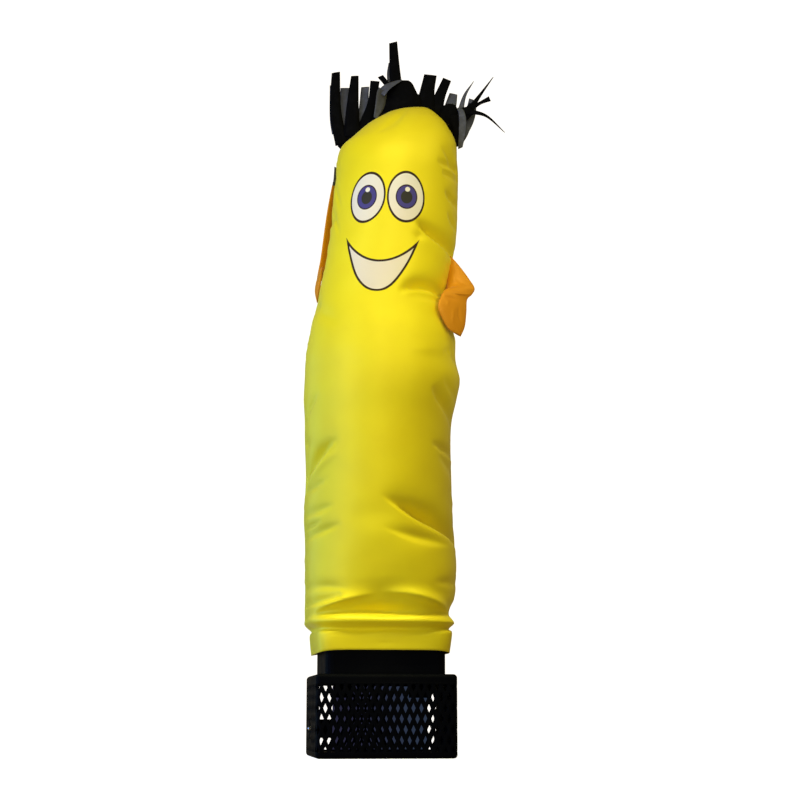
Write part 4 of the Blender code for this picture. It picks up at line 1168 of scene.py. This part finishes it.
class ClothSettings(bpy.types.PropertyGroup):
    """The tube's and the sleeves' cloth and the print."""
    tube_colour: colour_setting("Tube colour", "Satin of the tube", (0.93, 0.78, 0.008))
    tube_shade: colour_setting("Tube shade", "Where the tube's dye is deeper", (0.86, 0.68, 0.006))
    sleeve_colour: colour_setting("Sleeve colour", "Satin of the sleeves", (0.66, 0.255, 0.002))
    sleeve_shade: colour_setting("Sleeve shade", "Where the sleeves' dye is deeper",
                                 (0.60, 0.22, 0.0015))
    print_light: colour_setting("Print light", "The eyes' whites", (0.84, 0.80, 0.72))
    print_warm: colour_setting("Print warm", "The smile, and the eyes' lower side",
                               (0.80, 0.71, 0.58))
    print_line: colour_setting("Print line", "The print's dark lines", (0.022, 0.005, 0.002))
    iris_colour: colour_setting("Iris colour", "The ring of each eye", (0.052, 0.042, 0.24))
    pupil_colour: colour_setting("Pupil colour", "The middle of each eye", (0.022, 0.02, 0.017))
    cloth_thickness: length_setting("Cloth thickness", "Thickness of the satin", 0.0003)


class HairSettings(bpy.types.PropertyGroup):
    """The hair's and the hands' ribbon."""
    outside_colour: colour_setting("Outside", "The ribbon's outer side", (0.0012, 0.0012, 0.0018))
    reverse_colour: colour_setting("Reverse", "The ribbon's other side", (0.085, 0.09, 0.12))
    ribbon_thickness: length_setting("Ribbon thickness", "Thickness of the ribbon", 0.00035)


class BaseSettings(bpy.types.PropertyGroup):
    """The moulded base."""
    moulding_colour: colour_setting("Moulding", "Colour of the moulded plastic",
                                    (0.0009, 0.0012, 0.0026))
    wall_thickness: length_setting("Wall thickness", "Thickness of the pierced walls", 0.0018)
    hole_pitch: length_setting("Hole pitch", "Distance between two holes of a row", 0.00511)
    hole_rise: length_setting("Row rise", "Distance between two rows of holes", 0.00683)


class StageSettings(bpy.types.PropertyGroup):
    """The floor, the backdrop and the light."""
    floor_colour: colour_setting("Floor", "Colour of the floor and the backdrop",
                                 (0.93, 0.93, 0.93))
    brightness: bpy.props.FloatProperty(name="Brightness", description="Multiplies every light",
                                        default=1.0, min=0.0)


# The stage ---------------------------------------------------------------------------------------
# The lights: where each one stands and what it shines at, its size, power and colour.  A beam is
# the angle of a spot's cone, and spread is how far a panel's light fans out, both in degrees.
Lamp = namedtuple("Lamp", "name place target size power colour spread beam", defaults=(180, 0))
LAMPS = (
    Lamp("head spot", (-0.12, -0.95, 0.56), (0.0, 0.0, 0.385), (0.16, 0.16), 7.6,
         (1.0, 0.93, 0.74), beam=34),
    Lamp("left spot", (-0.70, -0.55, 0.50), (-0.01, 0.0, 0.36), (0.16, 0.16), 7.2,
         (1.0, 0.98, 0.6), beam=34),
    Lamp("top light", (-0.05, -0.25, 0.66), (-0.04, -0.20, 0.0), (0.24, 0.12), 0.40,
         (1.0, 0.98, 0.5), spread=100),
    Lamp("low top spot", (-0.02, -0.20, 0.50), (-0.01, -0.07, 0.08), (0.05, 0.05), 4.6,
         (1.0, 0.98, 0.45), beam=26),
    Lamp("top right light", (0.22, -0.22, 0.62), (0.02, 0.0, 0.33), (0.2, 0.2), 0.25,
         (1.0, 1.0, 0.4)),
    Lamp("cuff spot", (-0.16, -0.60, 0.09), (0.0, -0.02, 0.074), (0.01, 0.01), 2.3,
         (1.0, 0.95, 0.4), beam=9),
    Lamp("left cuff spot", (-0.46, -0.44, 0.12), (-0.035, -0.02, 0.086), (0.02, 0.02), 2.0,
         (1.0, 0.93, 0.35), beam=8),
    Lamp("cheek spot", (0.40, -0.90, 0.45), (0.036, -0.02, 0.305), (0.05, 0.05), 12.0,
         (1.0, 0.97, 0.5), beam=9),
    Lamp("left cheek spot", (-0.75, -0.25, 0.42), (-0.04, 0.0, 0.345), (0.05, 0.05), 1.7,
         (1.0, 0.92, 0.3), beam=15),
    Lamp("left fill", (-0.62, -0.36, 0.22), (0.0, 0.0, 0.22), (0.7, 0.6), 2.2, (0.19, 0.39, 1.0)),
    Lamp("left low fill", (-0.6, -0.15, 0.20), (0.0, 0.0, 0.20), (0.4, 0.5), 0.9,
         (0.06, 0.28, 1.0)),
    Lamp("left rim", (-0.5, 0.25, 0.20), (0.0, 0.0, 0.20), (0.35, 0.5), 0.9, (0.28, 0.66, 1.0)),
)
AMBIENT = (0.262, 0.214, 0.12)
BACKDROP_GLOW = 1.0
# The round floor's flat part, the bend that lifts it into a wall and the wall's top, in metres.
FLOOR_REACH, FLOOR_BEND, BACKDROP_TOP = 3.0, 0.6, 4.0
BACKDROP_SIDES, BEND_STEPS = 96, 16
# The card right behind the base, a dark sheet of painted shadow with a faint painted glow, as its
# left, right and top in metres and its distance back.
CARD = (-0.027, 0.039, 0.049, 0.050)
# the card's painted shade and its faint painted glow, on its left and on its right half
CARD_SHADE_LEFT, CARD_SHADE_RIGHT = (0.004, 0.004, 0.008), (0.006, 0.008, 0.014)
CARD_PAINTED_GLOW_LEFT, CARD_PAINTED_GLOW_RIGHT = (0.022, 0.021, 0.048), (0.025, 0.037, 0.066)
# The camera's place in metres and turn in degrees, and its lens and sensor in millimetres.
CAMERA_PLACE, CAMERA_TURN = (-0.12665, -1.14309, 0.02923), (100.337, 0, -7)
LENS, SENSOR = 76.98, 36.0
NEAREST = 0.05              # the nearest that the camera sees, in metres


def add_light(lamp, brightness):
    """A soft light that shines at a place."""
    light = bpy.data.lights.new(lamp.name, "SPOT" if lamp.beam else "AREA")
    if lamp.beam:
        light.spot_size, light.spot_blend = math.radians(lamp.beam), 1.0
        light.shadow_soft_size = lamp.size[0]
    else:
        light.shape, light.spread = "RECTANGLE", math.radians(lamp.spread)
        light.size, light.size_y = lamp.size
    light.energy = lamp.power * brightness
    light.color = lamp.colour
    holder = bpy.data.objects.new(lamp.name, light)
    holder.location = lamp.place
    aim = Vector(lamp.target) - Vector(lamp.place)
    holder.rotation_euler = aim.to_track_quat("-Z", "Y").to_euler()
    bpy.context.scene.collection.objects.link(holder)


def stage_piece(name, form, finish):
    """Adds a piece of the stage, which isn't part of the object."""
    mesh = mesh_from_form(name, form)
    mesh.materials.append(finish)
    mesh.shade_smooth()
    piece = bpy.data.objects.new(name, mesh)
    bpy.context.scene.collection.objects.link(piece)
    return piece


def build_backdrop(settings):
    """A round paper floor that bends up into a wall on every side."""
    paper, shader, start = new_finish("backdrop paper",
                                      {"Roughness": 0.9, "Emission Strength": BACKDROP_GLOW})
    colour = start.place().noise(3.0, 2.0).tint(settings.floor_colour,
                                                lighter(settings.floor_colour, 1.02))
    feed(start, shader, Base_Color=colour, Emission_Color=colour)
    profile = [(FLOOR_REACH + FLOOR_BEND * math.sin(a), FLOOR_BEND * (1 - math.cos(a)))
               for a in (math.pi / 2 * step / BEND_STEPS for step in range(BEND_STEPS + 1))]
    profile.append((FLOOR_REACH + FLOOR_BEND, BACKDROP_TOP))
    turns = [math.tau * side / BACKDROP_SIDES for side in range(BACKDROP_SIDES)]
    form = bmesh.new()
    rings = [[form.verts.new((reach * math.cos(turn), reach * math.sin(turn), z))
              for turn in turns] for reach, z in profile]
    form.faces.new(rings[0])
    skin_loops(form, rings)
    backdrop = stage_piece("backdrop", form, paper)
    # the paper is lit for the picture only, so that it doesn't wash out the cloth's shade
    backdrop.visible_diffuse = backdrop.visible_glossy = backdrop.visible_shadow = False


def build_shadow_card():
    """The card behind the base, a dark sheet of painted shadow with a faint painted glow, which
    can't be seen from its back.
    """
    dark, shader, start = new_finish("painted shadow card", {"Roughness": 0.9, "Emission Strength": 1.0})
    # the painted shade and the painted glow are a little lighter right of the middle
    shade = start.place().parts()[0].above(0.01, 0.06)
    feed(start, shader, Base_Color=shade.tint(CARD_SHADE_LEFT, CARD_SHADE_RIGHT),
         Emission_Color=shade.tint(CARD_PAINTED_GLOW_LEFT, CARD_PAINTED_GLOW_RIGHT),
         Alpha=1 - start.node("ShaderNodeNewGeometry", output=6))
    left, right, top, back = CARD
    form = bmesh.new()
    form.faces.new([form.verts.new(corner) for corner in
                    ((left, back, 0), (right, back, 0), (right, back, top), (left, back, top))])
    stage_piece("painted_shadow_card", form, dark)


def add_camera(scene):
    """The camera that looks at the model."""
    lens = bpy.data.cameras.new("camera")
    lens.sensor_width, lens.lens, lens.clip_start = SENSOR, LENS, NEAREST
    holder = bpy.data.objects.new("camera", lens)
    holder.location = CAMERA_PLACE
    holder.rotation_euler = [math.radians(angle) for angle in CAMERA_TURN]
    scene.collection.objects.link(holder)
    scene.camera = holder


# Operators ---------------------------------------------------------------------------------------

class AIRDANCER_OT_tube(bpy.types.Operator):
    """Builds the tube's two satin panels and prints the face"""
    bl_idname = "airdancer.tube"
    bl_label = "Build the tube"

    def execute(self, context):
        settings = context.scene.airdancer_cloth
        plain = satin("yellow satin", settings.tube_colour, settings.tube_shade)[0]
        printed = printed_satin("printed satin", settings)
        build_panel("tube_front", "body_front", math.pi, 11, printed, settings)
        build_panel("tube_back", "body_back", 0.0, 23, plain, settings)
        return {"FINISHED"}


class AIRDANCER_OT_sleeves(bpy.types.Operator):
    """Builds the two limp sleeves"""
    bl_idname = "airdancer.sleeves"
    bl_label = "Build the sleeves"

    def execute(self, context):
        settings = context.scene.airdancer_cloth
        orange = satin("orange satin", settings.sleeve_colour, settings.sleeve_shade)[0]
        for name, node, rungs, creases in (
                ("sleeve_right", "arm_right", RIGHT_SLEEVE, RIGHT_CREASES),
                ("sleeve_left", "arm_left", LEFT_SLEEVE, LEFT_CREASES)):
            mesh, flat = sleeve_mesh(name, rungs, creases)
            piece = link_mesh(name, mesh, [orange])
            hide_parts(node)
        return {"FINISHED"}


class AIRDANCER_OT_hair(bpy.types.Operator):
    """Builds the two layers of cut hair and the two hands' fringes"""
    bl_idname = "airdancer.hair"
    bl_label = "Build the hair and the hands"

    def execute(self, context):
        settings = context.scene.airdancer_hair
        black = ribbon_finish("black ribbon", settings.outside_colour)
        grey = ribbon_finish("grey ribbon", settings.reverse_colour)
        front = build_hair_layer("hair_outer", "hair_front", OUTER_HAIR, 1,
                                 [black, grey], settings, 5)
        back = build_hair_layer("hair_inner", "hair_back", INNER_HAIR, -1,
                                [grey, black], settings, 6)
        left = build_hand("fringe_left", "hand_left", LEFT_HAND, [grey, black], settings, 7)
        right = build_hand("fringe_right", "hand_right", RIGHT_HAND, [grey, black], settings, 8)
        return {"FINISHED"}


class AIRDANCER_OT_base(bpy.types.Operator):
    """Builds the base's pierced walls and inlet, and finishes its other mouldings"""
    bl_idname = "airdancer.base"
    bl_label = "Build the base"

    def execute(self, context):
        settings = context.scene.airdancer_base
        moulding = moulding_finish("black moulding", settings.moulding_colour)
        build_walls(settings, moulding)
        build_floor(moulding)
        build_lid(moulding)
        build_inlet(moulding, plated_finish("plated metal"))
        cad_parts["blower_collar"].material_slots[0].material = moulding
        return {"FINISHED"}


class AIRDANCER_OT_stage(bpy.types.Operator):
    """Builds the floor, the backdrop, the lights and the camera"""
    bl_idname = "airdancer.stage"
    bl_label = "Build the stage"

    def execute(self, context):
        settings = context.scene.airdancer_stage
        scene = context.scene
        build_backdrop(settings)
        # a dark sheet of painted shadow behind the base
        build_shadow_card()
        world = bpy.data.worlds.new("studio")
        world.use_nodes = True
        background = world.node_tree.nodes["Background"]
        background.inputs["Color"].default_value = (*AMBIENT, 1.0)
        background.inputs["Strength"].default_value = settings.brightness
        scene.world = world
        for lamp in LAMPS:
            add_light(lamp, settings.brightness)
        scene.view_settings.view_transform = "Standard"
        add_camera(scene)
        return {"FINISHED"}


class AIRDANCER_PT_sidebar(bpy.types.Panel):
    """The pieces and their settings"""
    bl_idname = "AIRDANCER_PT_sidebar"
    bl_label = "Air Dancer"
    bl_space_type = "VIEW_3D"
    bl_region_type = "UI"
    bl_category = "Air Dancer"

    def draw(self, context):
        groups = ((AIRDANCER_OT_tube, "airdancer_cloth"), (AIRDANCER_OT_sleeves, None),
                  (AIRDANCER_OT_hair, "airdancer_hair"), (AIRDANCER_OT_base, "airdancer_base"),
                  (AIRDANCER_OT_stage, "airdancer_stage"))
        for operator, group in groups:
            box = self.layout.box()
            box.operator(operator.bl_idname)
            if group:
                settings = getattr(context.scene, group)
                for name in settings.__annotations__:
                    box.prop(settings, name)


GROUPS = {"airdancer_cloth": ClothSettings, "airdancer_hair": HairSettings,
          "airdancer_base": BaseSettings, "airdancer_stage": StageSettings}
CLASSES = (*GROUPS.values(), AIRDANCER_OT_tube, AIRDANCER_OT_sleeves, AIRDANCER_OT_hair,
           AIRDANCER_OT_base, AIRDANCER_OT_stage, AIRDANCER_PT_sidebar)


def register():
    """Registers the classes and gives the scene its settings."""
    for item in CLASSES:
        bpy.utils.register_class(item)
    for name, group in GROUPS.items():
        setattr(bpy.types.Scene, name, bpy.props.PointerProperty(type=group))


def unregister():
    """Undoes register."""
    for name in GROUPS:
        delattr(bpy.types.Scene, name)
    for item in reversed(CLASSES):
        bpy.utils.unregister_class(item)


def main():
    """Builds every piece and the stage."""
    register()
    for build in (bpy.ops.airdancer.base, bpy.ops.airdancer.tube, bpy.ops.airdancer.sleeves,
                  bpy.ops.airdancer.hair, bpy.ops.airdancer.stage):
        build()


if __name__ == "__main__":
    main()
